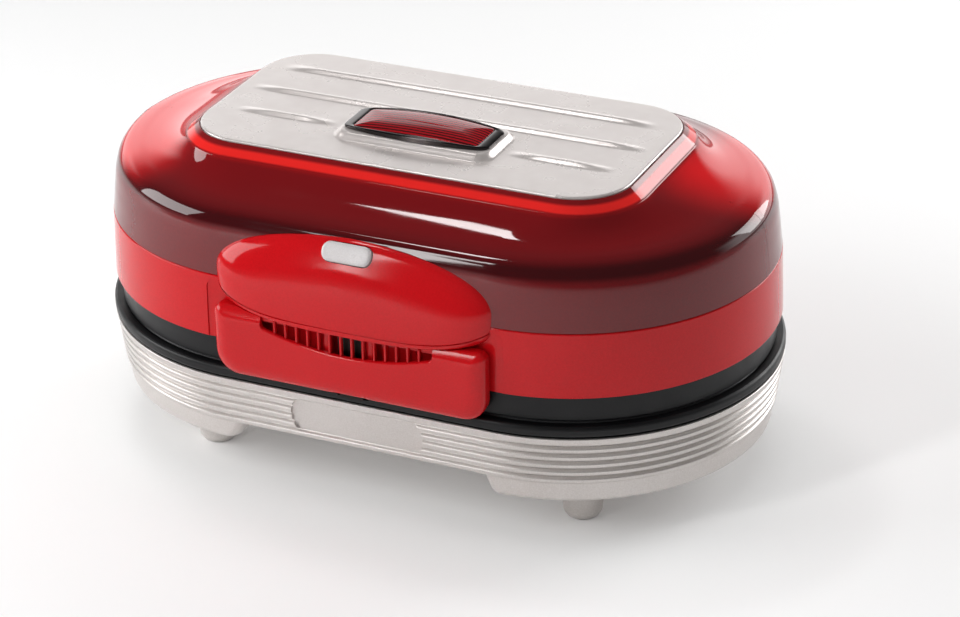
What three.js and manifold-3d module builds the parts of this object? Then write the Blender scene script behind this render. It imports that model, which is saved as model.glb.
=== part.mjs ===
// Electric burger grill: a silver ribbed base on four feet, two round cooking wells,
// and a hinged red lid with a latch handle at the front.
// Millimetres, +Z up, the front towards -Y, the floor at Z = 0.
import * as THREE from 'three';
import { mergeVertices } from 'three/addons/utils/BufferGeometryUtils.js';
import Module from 'manifold-3d';

const wasm = await Module();
wasm.setup();

// Clearances between pieces
const seatGap = 0.3;
const pinGap = 0.35;
const shellGap = 0.4;
const cutOverrun = 2;
const weldDistance = 0.0001;

// Counts of facets
const cornerSteps = 6;
const roundSteps = 28;
const smallSteps = 14;
const screwSteps = 8;
const tubeSides = 6;
const tubeSteps = 44;

// Plan of the body: two round ends joined by straight sides
const straightHalf = 68.3;
const baseRadius = 101.7;

// Base housing
const podBottomZ = 23.55;
const podHeight = 9.95;
const podInset = 5.5;
const podEdge = 1.2;
const podFloor = 2.45;
const podInnerWall = 2.2;
const archTopHalf = 62;
const archBottomHalf = 66.8;
const archFloor = 2.5;
const baseWall = 2.6;
const rimWall = 3.6;
const rimInset = 0.2;
const rimHeight = 0.2;
const ribCount = 6;
const ribPitch = 4.25;
const ribTaper = 3.5;
const grooveDepth = 1.4;
const ribProfileShares = [[0, 1], [0.22, 0.18], [0.51, 0], [0.79, 0.18]];

// Bare plate on the front ribs
const namePlateHalf = 30;
const namePlateBulge = 4;
const namePlateLow = 4.5;
const namePlateHeight = 16.7;
const namePlateDepth = 3;
const namePlateSink = 1.1;

// Feet
const footReach = 29.2;
const footY = 58.5;
const footTopRadius = 11;
const footWaistRadius = 9.3;
const footSoleRadius = 7.6;
const footWaistZ = 3;
const footBevelShares = [0.65, 0.4];
const footSoleZ = 0.4;
const padRadius = 7;
const padHeight = 1.5;
const padEdge = 0.4;

// Collar round the top of the base, and its plate seat
const spigotDepth = 4.2;
const spigotWall = 2.8;
const collarInset = 0.8;
const collarBead = 0.3;
const beadHeight = 0.7;
const collarBulge = 1;
const collarFace = 5.3;
const collarFaceShares = [[0.6, 0.075], [1, 0.226], [1, 0.642], [0.5, 0.887], [-0.3, 1]];
const collarLip = 0.4;
const ledgeDrop = 2.9;
const ledgeThickness = 2.4;
const ledgeWidth = 5.1;
const plateRecess = 0.4;
const postRadius = 4;
const postInset = 2.9;
const postAngle = Math.PI / 4;

// Cooking plates
const plateThickness = 3;
const lowerPlateInset = 1.6;
const wellSpacing = 9;
const wellRadius = 58;
const wellDraft = 3;
const wellWall = 3;
const lowerWellDepth = 13.9;
const upperWellDepth = 9;
const plateParting = 0.6;

// Heating parts
const elementRadius = 3.3;
const elementHalfWidth = 38;
const elementTailX = 14;
const elementTailBend = 8;
const elementTailInset = 35.7;
const trayReach = 49.7;
const trayHalfWidth = 48;
const trayCorner = 44;
const sheetMetal = 1.2;
const trayLip = 5;
const thermostatY = 32;
const thermostatRadius = 8;
const thermostatHeight = 9;
const tabThickness = 0.8;
const tabWidth = 5;
const tabLength = 6;
const tabSpacing = 4;
const fuseY = -34;
const fuseRadius = 2.2;
const fuseLength = 14;
const blockHalfLength = 20;
const blockDepth = 12;
const blockHeight = 13;
const blockSlot = 1.5;
const blockSlotDepth = 4;
const blockSlotPitch = 10;
const glandRise = 10;
const glandRadius = 6;
const glandBore = 3.2;
const glandFlangeRadius = 8;
const glandFlange = 2;
const glandReachIn = 6.5;

// Screws
const screwRadius = 1.5;
const screwHeadRadius = 3.1;
const screwHead = 1;
const baseScrewLength = 16;

// Lid inner shell, band and upper reflector
const lidWallInset = 4.2;
const lidWall = 2.3;
const lidWallHeight = 12.7;
const lidShellHeight = 44.4;
const lidLedgeWidth = 7.2;
const lidLedge = 2.1;
const bandOverhang = 2.7;
const bandDraft = 0.9;
const bandHeight = 32.3;
const bandWall = 2.2;
const bandSlack = 0.2;
const bandEdge = 0.5;
const reflectorInset = 2.2;
const reflectorHeight = 16;
const reflectorCorner = 6;

// Lid dome: a wall, a tight shoulder, a hollow slope and a raised bevel at the top
const domeHeight = 43.2;
const domeInset = 36.1;
const domeEndInset = 50.5;
const domeTopCorner = 34;
const domeCornerPowerShare = 1.645;
const domeWall = 2.2;
const domeBevelWidth = 6;
const domeBevelRise = 5;
const domeLip = 0.3;
const domeLipDrop = 1.5;
const domeLedge = 6.9;
const domeProfileShares = [
  [0.003, 0], [0.0137, 0.134], [0.0301, 0.343], [0.0546, 0.528], [0.0874, 0.632], [0.15, 0.704],
  [0.246, 0.736], [0.3825, 0.759], [0.574, 0.801], [0.765, 0.87], [0.97, 0.9815], [1, 1],
];
const linerWall = 1.6;
const linerProfileShares = domeProfileShares.slice(0, -1);

// Top plate and badge
const topPlateGap = 0.45;
const topPlateThickness = 2.2;
const topPlateEdge = 0.6;
const fluteWidth = 5;
const fluteCrest = 2.4;
const fluteHeight = 1.2;
const fluteSink = 0.4;
const flutePlaceShares = [
  { across: 0.593, from: -0.852, to: 0.816 },
  { across: 0.103, from: -0.906, to: 0.906 },
  { across: -0.372, from: -0.843, to: -0.435 },
  { across: -0.372, from: 0.435, to: 0.861 },
];
const badgeY = -18;
const bossHalfLength = 45;
const bossHalfWidth = 21;
const bossCorner = 12;
const bossHeight = 3;
const bossSlope = 4;
const badgeHalfLength = 39;
const badgeHalfWidth = 16;
const badgeCorner = 14;
const badgeFrameHeight = 2.6;
const badgeRim = 2.4;
const badgeFloor = 1.2;
const badgePlateHeight = 2;
const badgeArchShares = [[0.05, 0.4], [0.2, 0.75], [0.5, 1]];

// Hinge at the rear
const hingeReach = 6.3;
const hingeRise = 1.5;
const knuckleRadius = 5;
const hingePinRadius = 2;
const hingePinHead = 1.2;
const hingePinHeadRadius = 3.4;
const lugX = 48;
const lugHalf = 6;
const earThickness = 5;
const hingeSideGap = 1;
const lugRootHeight = 9;
const earRootHeight = 4;
const earRootReach = 6;

// Handle body
const handleHalf = 69.5;
const handleSkirt = 0.5;
const handleHeight = 40;
const handleDepth = 7.4;
const handleLowCorner = 12;
const handleHighCorner = 4;
const handleWall = 2;
const handleEdgeShares = [[0, 0.39], [0.15, 0.73], [0.5, 0.96], [1, 1]];
const handleEdge = 8;
const handleInnerShares = [[0.75, 0.73], [0.17, 0.62], [0, 0.36]];
const hookSlotHalf = 9;
const collarRelief = 0.85;
const reliefDepth = 1.6;
const grilleHalf = 42;
const grilleDrop = 12.5;
const grilleTop = 34;
const finCount = 14;
const finPitch = 5.7;
const finThickness = 1.2;
const finDepth = 2.6;
const finInset = 1;
const finRoot = 2.5;
const finTopDrop = 0.2;
const handleScrewInset = 19.5;
const handleScrewRise = 27;
const handleBossRadius = 3.6;
const handleScrewLength = 10;

// Handle cap: a clam shell over the handle, against the dome
const capOverhang = 1.5;
const capRise = 35;
const capHeight = 42.2;
const capDepth = 13.5;
const capRearInset = 3.3;
const capSideRise = 16;
const capWall = 2;
const capLevelShares = [0, 0.25, 0.45, 0.62, 0.77, 0.89, 0.97, 0.995];
const capWidthPowerShare = 0.34;
const capTopPullShares = [0.45, 0.972];
const capSidePullShare = 0.762;
const capLipPullShares = [0.2, 0.88];
const capQuarterSteps = 6;

// Release button and latch
const buttonHalfLength = 12.5;
const buttonHalfWidth = 4.7;
const buttonCorner = 4.2;
const buttonProud = 1.6;
const buttonDepth = 3.4;
const buttonEdge = 0.5;
const buttonTabReach = 1.2;
const buttonTabHalf = 3;
const buttonTab = 0.4;
const buttonRise = 37.3;
const buttonTilt = 58 * Math.PI / 180;
const windowHalf = 16;
const windowLow = 4;
const windowHigh = 28.8;
const leverHalf = 6;
const leverThickness = 1.8;
const leverRun = 2.5;
const pivotRise = 32;
const pivotRadius = 0.9;
const pivotBossWidth = 3;
const leverElbowRise = 16;
const leverKneeRise = 29.5;
const leverTopRise = 34.4;
const leverOffset = 3.5;
const leverEyeRadius = 1.85;
const leverSlotHalf = 8;
const hookHeight = 1.5;
const hookNose = 0.5;
const keeperHalf = 7.7;
const keeperDepth = 1.9;
const keeperThickness = 1.2;
const keeperDrop = 0.5;
const notchHalf = 8;
const notchDepth = 2.7;
const springOuter = 1.8;
const springInner = 1.25;
const springLength = 2.6;

// Heights that follow from the sizes above
const archTopZ = podBottomZ + podHeight;
const ribTopZ = archTopZ + ribCount * ribPitch;
const shellTopZ = ribTopZ + rimHeight;
const archFloorZ = archTopZ + archFloor;
const collarBottomZ = shellTopZ + seatGap;
const collarFaceZ = collarBottomZ + beadHeight;
const collarTopZ = collarFaceZ + collarFace;
const ledgeZ = collarTopZ - ledgeDrop;
const lowerPlateZ = ledgeZ + seatGap;
const lowerPlateTopZ = lowerPlateZ + plateThickness;
const lowerCupZ = lowerPlateTopZ - lowerWellDepth - wellWall;
const upperPlateZ = lowerPlateTopZ + plateParting;
const upperPlateTopZ = upperPlateZ + plateThickness;
const upperCupZ = upperPlateZ + upperWellDepth + wellWall;
const lidBottomZ = upperPlateZ + seatGap / 3;
const lidLedgeZ = upperPlateTopZ + shellGap;
const lidStepZ = lidBottomZ + lidWallHeight;
const lidShellTopZ = lidBottomZ + lidShellHeight;
const bandBottomZ = lidStepZ + seatGap;
const bandTopZ = bandBottomZ + bandHeight;
const domeBottomZ = bandTopZ + seatGap;
const domeTopZ = domeBottomZ + domeHeight;
const bevelTopZ = domeTopZ + domeBevelRise;
const domeLedgeZ = bevelTopZ - domeLipDrop;
const topPlateZ = domeLedgeZ + seatGap;
const topPlateTopZ = topPlateZ + topPlateThickness;
const badgeZ = topPlateTopZ + bossHeight + seatGap;
const hingeZ = collarTopZ + hingeRise;
const glandZ = archFloorZ + glandRise;
const keeperZ = collarTopZ - keeperDrop;
const hookBottomZ = keeperZ - seatGap - hookHeight;
const notchLow = hookBottomZ - seatGap;
const handleBottomZ = collarTopZ - handleSkirt;
const handleScrewZ = handleBottomZ + handleScrewRise;
const grilleTopZ = handleBottomZ + grilleTop;
const pivotZ = handleBottomZ + pivotRise;
const capBottomZ = handleBottomZ + capRise;
const leverElbowZ = capBottomZ + leverElbowRise;
const leverKneeZ = capBottomZ + leverKneeRise;
const leverTopZ = capBottomZ + leverTopRise;
const buttonZ = capBottomZ + buttonRise;

// Places that follow from the sizes above
const podRadius = baseRadius - podInset;
const podInnerHalf = archBottomHalf + podInnerWall;
const footX = straightHalf + footReach;
const wellX = wellRadius + wellWall + wellSpacing;
const trayHalfLength = straightHalf + trayReach;
const elementTailY = baseRadius - elementTailInset;
const hingeY = baseRadius + hingeReach;
const collarRadius = baseRadius - collarInset;
const notchBackY = collarRadius - notchDepth;
const spigotRadius = baseRadius - rimWall - seatGap;
const lowerPlateRadius = spigotRadius - lowerPlateInset;
const plateSeatRadius = lowerPlateRadius + plateRecess;
const ledgeRadius = plateSeatRadius - ledgeWidth;
const postReach = ledgeRadius - postInset;
const lidWallRadius = baseRadius - lidWallInset;
const lidInnerRadius = lidWallRadius - lidWall;
const lidLedgeInner = lidInnerRadius - lidLedgeWidth;
const reflectorRadius = lidInnerRadius - reflectorInset;
const bandBottomRadius = lidWallRadius + bandOverhang;
const bandTopRadius = bandBottomRadius - bandDraft;
const lidUpperRadius = bandTopRadius - bandWall - bandSlack;
const upperPlateRadius = lidInnerRadius - seatGap;
const handleBackY = bandBottomRadius + shellGap;
const handleFrontY = handleBackY + handleDepth;
const capRearY = bandTopRadius - capRearInset;
const handleScrewX = handleHalf - handleScrewInset;
const capHalf = handleHalf + capOverhang;
const domeTopHalfWidth = bandTopRadius - domeInset;
const domeTopHalfLength = straightHalf + bandTopRadius - domeEndInset;
const bevelHalfLength = domeTopHalfLength - domeBevelWidth;
const bevelHalfWidth = domeTopHalfWidth - domeBevelWidth;
const bevelCorner = domeTopCorner - domeBevelWidth;
const lowerElementZ = lowerCupZ - seatGap - elementRadius;
const upperElementZ = upperCupZ + seatGap + elementRadius;
const postX = straightHalf + postReach * Math.cos(postAngle);
const postY = postReach * Math.sin(postAngle);
const leverFrontY = handleBackY + leverRun;
const leverBackY = leverFrontY - leverThickness;
const pivotY = (leverFrontY + leverBackY) / 2;
const keeperFrontY = notchBackY + seatGap + keeperDepth;
const capFrontY = capRearY + capDepth * Math.max(...capLevelShares);
const assemblyShift = (capFrontY - hingeY - knuckleRadius) / 2;

// Finishes
const silver = new THREE.MeshStandardMaterial({ color: '#c8bfbd', roughness: 0.45, metalness: 0.1 });
const black = new THREE.MeshStandardMaterial({ color: '#232327', roughness: 0.6, metalness: 0 });
const redGloss = new THREE.MeshStandardMaterial({ color: '#b21e28', roughness: 0.15, metalness: 0 });
const darkRed = new THREE.MeshStandardMaterial({ color: '#5a0a10', roughness: 0.08, metalness: 0 });
const satinMetal = new THREE.MeshStandardMaterial({ color: '#d0c8c6', roughness: 0.35, metalness: 0.8 });
const castAluminium = new THREE.MeshStandardMaterial({ color: '#3a3a3c', roughness: 0.5, metalness: 0.4 });
const steel = new THREE.MeshStandardMaterial({ color: '#a9abad', roughness: 0.3, metalness: 1 });
const rubber = new THREE.MeshStandardMaterial({ color: '#1a1a1a', roughness: 0.9, metalness: 0 });
const ceramic = new THREE.MeshStandardMaterial({ color: '#e6e1d6', roughness: 0.5, metalness: 0 });
const greyPlastic = new THREE.MeshStandardMaterial({ color: '#c2bcbc', roughness: 0.4, metalness: 0.1 });

// Views that turn a flat outline into a solid across the body
const axisX = new THREE.Vector3(1, 0, 0);
const axisY = new THREE.Vector3(0, 1, 0);
const axisZ = new THREE.Vector3(0, 0, 1);
const sideView = new THREE.Matrix4().makeBasis(axisY, axisZ, axisX);
const frontView = new THREE.Matrix4().makeBasis(axisX, axisZ, axisY.clone().negate());

/** Welded geometry with only positions, no empty faces and its faces pointing out. */
function tidy(source) {
  const bare = source.clone();
  bare.deleteAttribute('normal');
  bare.deleteAttribute('uv');
  bare.clearGroups();
  const welded = mergeVertices(bare, weldDistance);
  const index = welded.getIndex().array;
  const kept = [];
  for (let corner = 0; corner < index.length; corner += 3) {
    const [a, b, c] = [index[corner], index[corner + 1], index[corner + 2]];
    if (a !== b && b !== c && c !== a) {
      kept.push(a, b, c);
    }
  }
  welded.setIndex(kept);
  return signedVolume(welded) < 0 ? flipped(welded) : welded;
}

/** Six times the volume that a closed geometry holds, negative when it is inside out. */
function signedVolume(geometry) {
  const position = geometry.getAttribute('position');
  const index = geometry.getIndex().array;
  const corners = [new THREE.Vector3(), new THREE.Vector3(), new THREE.Vector3()];
  let total = 0;
  for (let first = 0; first < index.length; first += 3) {
    corners.forEach((corner, offset) => corner.fromBufferAttribute(position, index[first + offset]));
    total += corners[0].dot(corners[1].clone().cross(corners[2]));
  }
  return total;
}

/** The same geometry with every face turned over. */
function flipped(geometry) {
  const index = Array.from(geometry.getIndex().array);
  for (let first = 0; first < index.length; first += 3) {
    [index[first + 1], index[first + 2]] = [index[first + 2], index[first + 1]];
  }
  geometry.setIndex(index);
  return geometry;
}

/** A closed geometry as a solid that can be joined and cut. */
function solidOf(geometry) {
  const ready = tidy(geometry);
  const vertProperties = new Float32Array(ready.getAttribute('position').array);
  const triVerts = new Uint32Array(ready.getIndex().array);
  return new wasm.Manifold(new wasm.Mesh({ numProp: 3, vertProperties, triVerts }));
}

/** A joined or cut solid as geometry again. */
function geometryOf(solid) {
  const { vertProperties, triVerts } = solid.getMesh();
  const geometry = new THREE.BufferGeometry();
  geometry.setAttribute('position', new THREE.BufferAttribute(new Float32Array(vertProperties), 3));
  geometry.setIndex(Array.from(triVerts));
  return geometry;
}

function join(first, ...others) {
  return geometryOf(others.reduce((sum, other) => sum.add(solidOf(other)), solidOf(first)));
}

function cut(first, ...tools) {
  return geometryOf(tools.reduce((rest, tool) => rest.subtract(solidOf(tool)), solidOf(first)));
}

/** Rounded rectangle at one height, counter-clockwise from above. */
function roundedRing(halfLength, halfWidth, corner, z, y = 0) {
  const ring = [];
  [[1, 1], [-1, 1], [-1, -1], [1, -1]].forEach(([signX, signY], quarter) => {
    for (let step = 0; step <= cornerSteps; step += 1) {
      const angle = (quarter + step / cornerSteps) * Math.PI / 2;
      const pointX = signX * (halfLength - corner) + corner * Math.cos(angle);
      const pointY = y + signY * (halfWidth - corner) + corner * Math.sin(angle);
      ring.push(new THREE.Vector3(pointX, pointY, z));
    }
  });
  return ring;
}

/** The body's own plan shape at one end radius. */
function stadium(radius, z) {
  return roundedRing(straightHalf + radius, radius, radius, z);
}

/** Surface through rings: a solid with two flat ends, or a hollow band when the loop closes. */
function loft(rings, closes = false) {
  const points = rings.flat();
  const count = rings[0].length;
  const index = [];
  const spans = closes ? rings.length : rings.length - 1;
  for (let level = 0; level < spans; level += 1) {
    const low = level * count;
    const high = ((level + 1) % rings.length) * count;
    for (let side = 0; side < count; side += 1) {
      const next = (side + 1) % count;
      index.push(low + side, low + next, high + next);
      index.push(low + side, high + next, high + side);
    }
  }
  if (!closes) {
    addEnd(points, index, 0, count, true);
    addEnd(points, index, (rings.length - 1) * count, count, false);
  }
  const geometry = new THREE.BufferGeometry().setFromPoints(points);
  geometry.setIndex(index);
  return geometry;
}

/** Closes one end of a loft with a fan about its middle. */
function addEnd(points, index, start, count, faceDown) {
  const middle = new THREE.Vector3();
  for (let side = 0; side < count; side += 1) {
    middle.addScaledVector(points[start + side], 1 / count);
  }
  const centre = points.push(middle) - 1;
  for (let side = 0; side < count; side += 1) {
    const next = (side + 1) % count;
    index.push(centre, start + (faceDown ? next : side), start + (faceDown ? side : next));
  }
}

function block(fromX, toX, fromY, toY, fromZ, toZ) {
  const box = new THREE.BoxGeometry(toX - fromX, toY - fromY, toZ - fromZ);
  return box.translate((fromX + toX) / 2, (fromY + toY) / 2, (fromZ + toZ) / 2);
}

/** Solid of revolution about the vertical axis, from radius and height pairs. */
function turned(profile, steps = roundSteps) {
  const points = profile.map(([radius, height]) => new THREE.Vector2(radius, height));
  return new THREE.LatheGeometry(points, steps).rotateX(Math.PI / 2);
}

/** Plain cylinder on a vertical axis. */
function post(radius, fromZ, toZ, steps = smallSteps) {
  return turned([[0, fromZ], [radius, fromZ], [radius, toZ], [0, toZ]], steps);
}

/** Flat outline of pairs, extruded symmetrically through the drawing plane. */
function prism(pairs, halfDepth) {
  const points = () => pairs.map(([u, v]) => new THREE.Vector2(u, v));
  const shape = pairs instanceof THREE.Shape ? pairs : new THREE.Shape(points());
  const options = { depth: 2 * halfDepth, bevelEnabled: false, curveSegments: smallSteps };
  return new THREE.ExtrudeGeometry(shape, options).translate(0, 0, -halfDepth);
}

const places = ['front_right', 'rear_right', 'rear_left', 'front_left'];

/** Each of the four corners of a rectangle, as a list of x and y, in the order of their names. */
function corners(x, y) {
  return [[x, -y], [x, y], [-x, y], [-x, -y]];
}

const grill = new THREE.Group();
const base = new THREE.Group();
const lid = new THREE.Group();
const latch = new THREE.Group();
grill.add(base, lid);
lid.add(latch);

function addMesh(group, name, geometry, material) {
  const mesh = new THREE.Mesh(tidy(geometry), material);
  mesh.geometry.computeVertexNormals();
  mesh.name = name;
  group.add(mesh);
  return mesh;
}

// Base

function ribEnvelope(z) {
  return baseRadius - (ribTopZ - z) * ribTaper / (ribTopZ - archTopZ);
}

function baseOuter() {
  const rings = [
    stadium(podRadius - podEdge, podBottomZ),
    stadium(podRadius, podBottomZ + podEdge),
    stadium(podRadius, archTopZ),
  ];
  for (let rib = 0; rib < ribCount; rib += 1) {
    ribProfileShares.forEach(([heightShare, depthShare]) => {
      const z = archTopZ + (rib + heightShare) * ribPitch;
      rings.push(stadium(ribEnvelope(z) - depthShare * grooveDepth, z));
    });
  }
  rings.push(stadium(baseRadius - rimInset, shellTopZ));
  return loft(rings);
}

/** Outline of the name plate, with outward curved ends, at one depth below the tops of the ribs. */
function namePlateRing(depth) {
  const lowZ = archTopZ + namePlateLow;
  const ring = [];
  for (const side of [1, -1]) {
    for (let step = 0; step <= cornerSteps; step += 1) {
      const angle = (step / cornerSteps - 0.5) * Math.PI;
      const x = side * (namePlateHalf + namePlateBulge * Math.cos(angle));
      const z = lowZ + namePlateHeight * (0.5 + side * Math.sin(angle) / 2);
      ring.push(new THREE.Vector3(x, depth - ribEnvelope(z), z));
    }
  }
  return ring;
}

/** The housing's outside, with the ribs cut back round a bare sunk plate. */
function ribbedHousing() {
  const plate = loft([namePlateRing(namePlateDepth), namePlateRing(namePlateSink / 2)]);
  const recess = loft([namePlateRing(namePlateSink), namePlateRing(-cutOverrun)]);
  return cut(join(baseOuter(), plate), recess);
}

function baseScrewPlaces() {
  return corners(postX, postY);
}

function buildBaseShell() {
  const podRadiusInside = podRadius - baseWall;
  const upper = loft([
    stadium(podRadiusInside, archFloorZ),
    stadium(spigotRadius + seatGap, shellTopZ - spigotDepth - seatGap),
    stadium(spigotRadius + seatGap, shellTopZ + cutOverrun),
  ]);
  const lower = cut(
    loft([stadium(podRadiusInside, podBottomZ + podFloor), stadium(podRadiusInside, archFloorZ + seatGap)]),
    block(-podInnerHalf, podInnerHalf, -baseRadius, baseRadius, 0, archFloorZ + cutOverrun),
  );
  const archOutline = [
    [-archBottomHalf, podBottomZ - cutOverrun], [archBottomHalf, podBottomZ - cutOverrun],
    [archTopHalf, archTopZ], [-archTopHalf, archTopZ],
  ];
  const arch = prism(archOutline, baseRadius + cutOverrun).applyMatrix4(frontView);
  const glandHole = post(glandRadius + pinGap, 0, baseRadius + cutOverrun).rotateX(-Math.PI / 2);
  const holes = baseScrewPlaces().flatMap(([x, y]) => [
    post(screwRadius + pinGap, podBottomZ - cutOverrun, archFloorZ, screwSteps).translate(x, y, 0),
    post(screwHeadRadius + pinGap, podBottomZ - cutOverrun, podBottomZ + screwHead + seatGap, screwSteps)
      .translate(x, y, 0),
  ]);
  const shell = cut(ribbedHousing(), upper, lower, arch, glandHole.translate(0, 0, glandZ), ...holes);
  addMesh(base, 'base_shell', shell, silver);
}

function buildFeet() {
  const bevelZ = footSoleZ + footBevelShares[1] * (footWaistZ - footSoleZ);
  const bevelRadius = footSoleRadius + footBevelShares[0] * (footWaistRadius - footSoleRadius);
  const recess = padRadius + seatGap;
  const footProfile = [
    [0, padHeight + seatGap], [recess, padHeight + seatGap], [recess, footSoleZ],
    [footSoleRadius, footSoleZ], [bevelRadius, bevelZ], [footWaistRadius, footWaistZ],
    [footTopRadius, podBottomZ - seatGap], [0, podBottomZ - seatGap],
  ];
  const padProfile = [
    [0, 0], [padRadius - padEdge, 0], [padRadius, padEdge], [padRadius, padHeight], [0, padHeight],
  ];
  corners(footX, footY).forEach(([x, y], place) => {
    addMesh(base, `foot_${places[place]}`, turned(footProfile, smallSteps), silver).position.set(x, y, 0);
    addMesh(base, `foot_pad_${places[place]}`, turned(padProfile, smallSteps), rubber).position.set(x, y, 0);
  });
}

/** Ring screwed down on the base: spigot, bead, curved face, lip and plate seat. */
function collarRing() {
  const face = collarFaceShares.map(([bulgeShare, heightShare]) => (
    stadium(collarRadius + bulgeShare * collarBulge, collarFaceZ + heightShare * collarFace)
  ));
  return loft([
    stadium(spigotRadius, shellTopZ - spigotDepth),
    stadium(spigotRadius, collarBottomZ),
    stadium(collarRadius, collarBottomZ),
    stadium(collarRadius + collarBead, collarBottomZ + beadHeight / 2),
    stadium(collarRadius, collarFaceZ),
    ...face,
    stadium(plateSeatRadius + collarLip, collarTopZ),
    stadium(plateSeatRadius, collarTopZ - collarLip),
    stadium(plateSeatRadius, ledgeZ),
    stadium(ledgeRadius, ledgeZ),
    stadium(ledgeRadius, ledgeZ - ledgeThickness),
    stadium(spigotRadius - spigotWall, ledgeZ - ledgeThickness),
    stadium(spigotRadius - spigotWall, shellTopZ - spigotDepth),
  ], true);
}

/** Side outline of a hinge ear that stands up from the collar. */
function earOutline() {
  const rootY = hingeY - knuckleRadius - earRootReach;
  const shape = new THREE.Shape();
  shape.moveTo(rootY, collarTopZ - earRootHeight);
  shape.lineTo(hingeY, hingeZ - knuckleRadius);
  shape.absarc(hingeY, hingeZ, knuckleRadius, -Math.PI / 2, Math.PI, false);
  shape.lineTo(hingeY - knuckleRadius, collarTopZ - seatGap);
  shape.lineTo(rootY, collarTopZ - seatGap);
  return shape;
}

function hingeBore(halfLength) {
  const bore = post(hingePinRadius + pinGap, -halfLength, halfLength);
  return bore.rotateY(Math.PI / 2).translate(0, hingeY, hingeZ);
}

function buildBaseCollar() {
  const ears = [];
  for (const side of [-1, 1]) {
    for (const step of [-1, 1]) {
      const x = side * lugX + step * (lugHalf + hingeSideGap + earThickness / 2);
      ears.push(prism(earOutline(), earThickness / 2).applyMatrix4(sideView).translate(x, 0, 0));
    }
  }
  const postBottomZ = podBottomZ + podFloor + seatGap;
  const posts = baseScrewPlaces().map(([x, y]) => (
    post(postRadius, postBottomZ, ledgeZ - ledgeThickness / 2, screwSteps).translate(x, y, 0)
  ));
  const boreTopZ = podBottomZ + podFloor + baseScrewLength;
  const bores = baseScrewPlaces().map(([x, y]) => (
    post(screwRadius + pinGap, podBottomZ, boreTopZ, screwSteps).translate(x, y, 0)
  ));
  const notch = block(
    -notchHalf, notchHalf, -baseRadius - cutOverrun, -notchBackY, notchLow, collarTopZ + cutOverrun,
  );
  const collar = cut(join(collarRing(), ...ears, ...posts), notch, hingeBore(lugX * 2), ...bores);
  addMesh(base, 'base_collar', collar, black);
}

/** Flat flange with two round wells, all one casting. */
function wellPlate(radius, flangeZ, mouthZ, floorZ, cupZ) {
  const flange = loft([stadium(radius, flangeZ), stadium(radius, flangeZ + plateThickness)]);
  const rootZ = flangeZ + plateThickness / 2;
  const inward = Math.sign(floorZ - mouthZ);
  const cups = [];
  const hollows = [];
  for (const side of [-1, 1]) {
    const cupRadius = wellRadius - wellDraft + wellWall;
    const cup = [[0, cupZ], [cupRadius, cupZ], [wellRadius + wellWall, rootZ], [0, rootZ]];
    const open = mouthZ - inward * cutOverrun;
    const hollow = [
      [0, floorZ], [wellRadius - wellDraft, floorZ], [wellRadius, mouthZ], [wellRadius, open], [0, open],
    ];
    cups.push(turned(cup).translate(side * wellX, 0, 0));
    hollows.push(turned(hollow).translate(side * wellX, 0, 0));
  }
  return cut(join(flange, ...cups), ...hollows);
}

function buildCookingPlates() {
  const lower = wellPlate(
    lowerPlateRadius, lowerPlateZ, lowerPlateTopZ, lowerPlateTopZ - lowerWellDepth, lowerCupZ,
  );
  addMesh(base, 'lower_plate', lower, castAluminium);
  const upper = wellPlate(
    upperPlateRadius, upperPlateZ, upperPlateZ, upperPlateZ + upperWellDepth, upperCupZ,
  );
  addMesh(lid, 'upper_plate', upper, castAluminium);
}

/** One bent rod: a loop under both wells whose two tails run to the rear. */
function elementRod(z) {
  const route = [[elementTailX, elementTailY], [elementTailX, elementHalfWidth + elementTailBend]];
  route.push([elementTailX + elementTailBend, elementHalfWidth]);
  for (let step = 0; step <= cornerSteps; step += 1) {
    const angle = Math.PI / 2 - step / cornerSteps * Math.PI;
    route.push([wellX + elementHalfWidth * Math.cos(angle), elementHalfWidth * Math.sin(angle)]);
  }
  const mirrored = route.map(([x, y]) => [-x, y]).reverse();
  const points = [...route, ...mirrored].map(([x, y]) => new THREE.Vector3(x, y, z));
  const section = new THREE.Shape();
  for (let side = 0; side < tubeSides; side += 1) {
    const angle = (side + 0.5) / tubeSides * 2 * Math.PI;
    const corner = [elementRadius * Math.cos(angle), elementRadius * Math.sin(angle)];
    section[side ? 'lineTo' : 'moveTo'](...corner);
  }
  section.closePath();
  const extrudePath = new THREE.CatmullRomCurve3(points, false, 'centripetal');
  return new THREE.ExtrudeGeometry(section, { steps: tubeSteps, bevelEnabled: false, extrudePath });
}

function buildHeatingParts() {
  addMesh(base, 'lower_element', elementRod(lowerElementZ), steel);
  addMesh(lid, 'upper_element', elementRod(upperElementZ), steel);
  const trayZ = archFloorZ + seatGap;
  const inner = [trayHalfLength - sheetMetal, trayHalfWidth - sheetMetal, trayCorner - sheetMetal];
  const tray = loft([
    roundedRing(...inner, trayZ + sheetMetal),
    roundedRing(...inner, trayZ + trayLip),
    roundedRing(trayHalfLength, trayHalfWidth, trayCorner, trayZ + trayLip),
    roundedRing(trayHalfLength, trayHalfWidth, trayCorner, trayZ),
  ].reverse());
  addMesh(base, 'lower_reflector', tray, steel);
  const hoodZ = lidLedgeZ + lidLedge + seatGap;
  const hoodTopZ = hoodZ + reflectorHeight;
  const hood = loft([
    stadium(reflectorRadius - reflectorCorner, hoodTopZ - sheetMetal),
    stadium(reflectorRadius - sheetMetal, hoodTopZ - reflectorCorner),
    stadium(reflectorRadius - sheetMetal, hoodZ),
    stadium(reflectorRadius, hoodZ),
    stadium(reflectorRadius, hoodTopZ - reflectorCorner),
    stadium(reflectorRadius - reflectorCorner, hoodTopZ),
  ]);
  addMesh(lid, 'upper_reflector', hood, steel);
}

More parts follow.
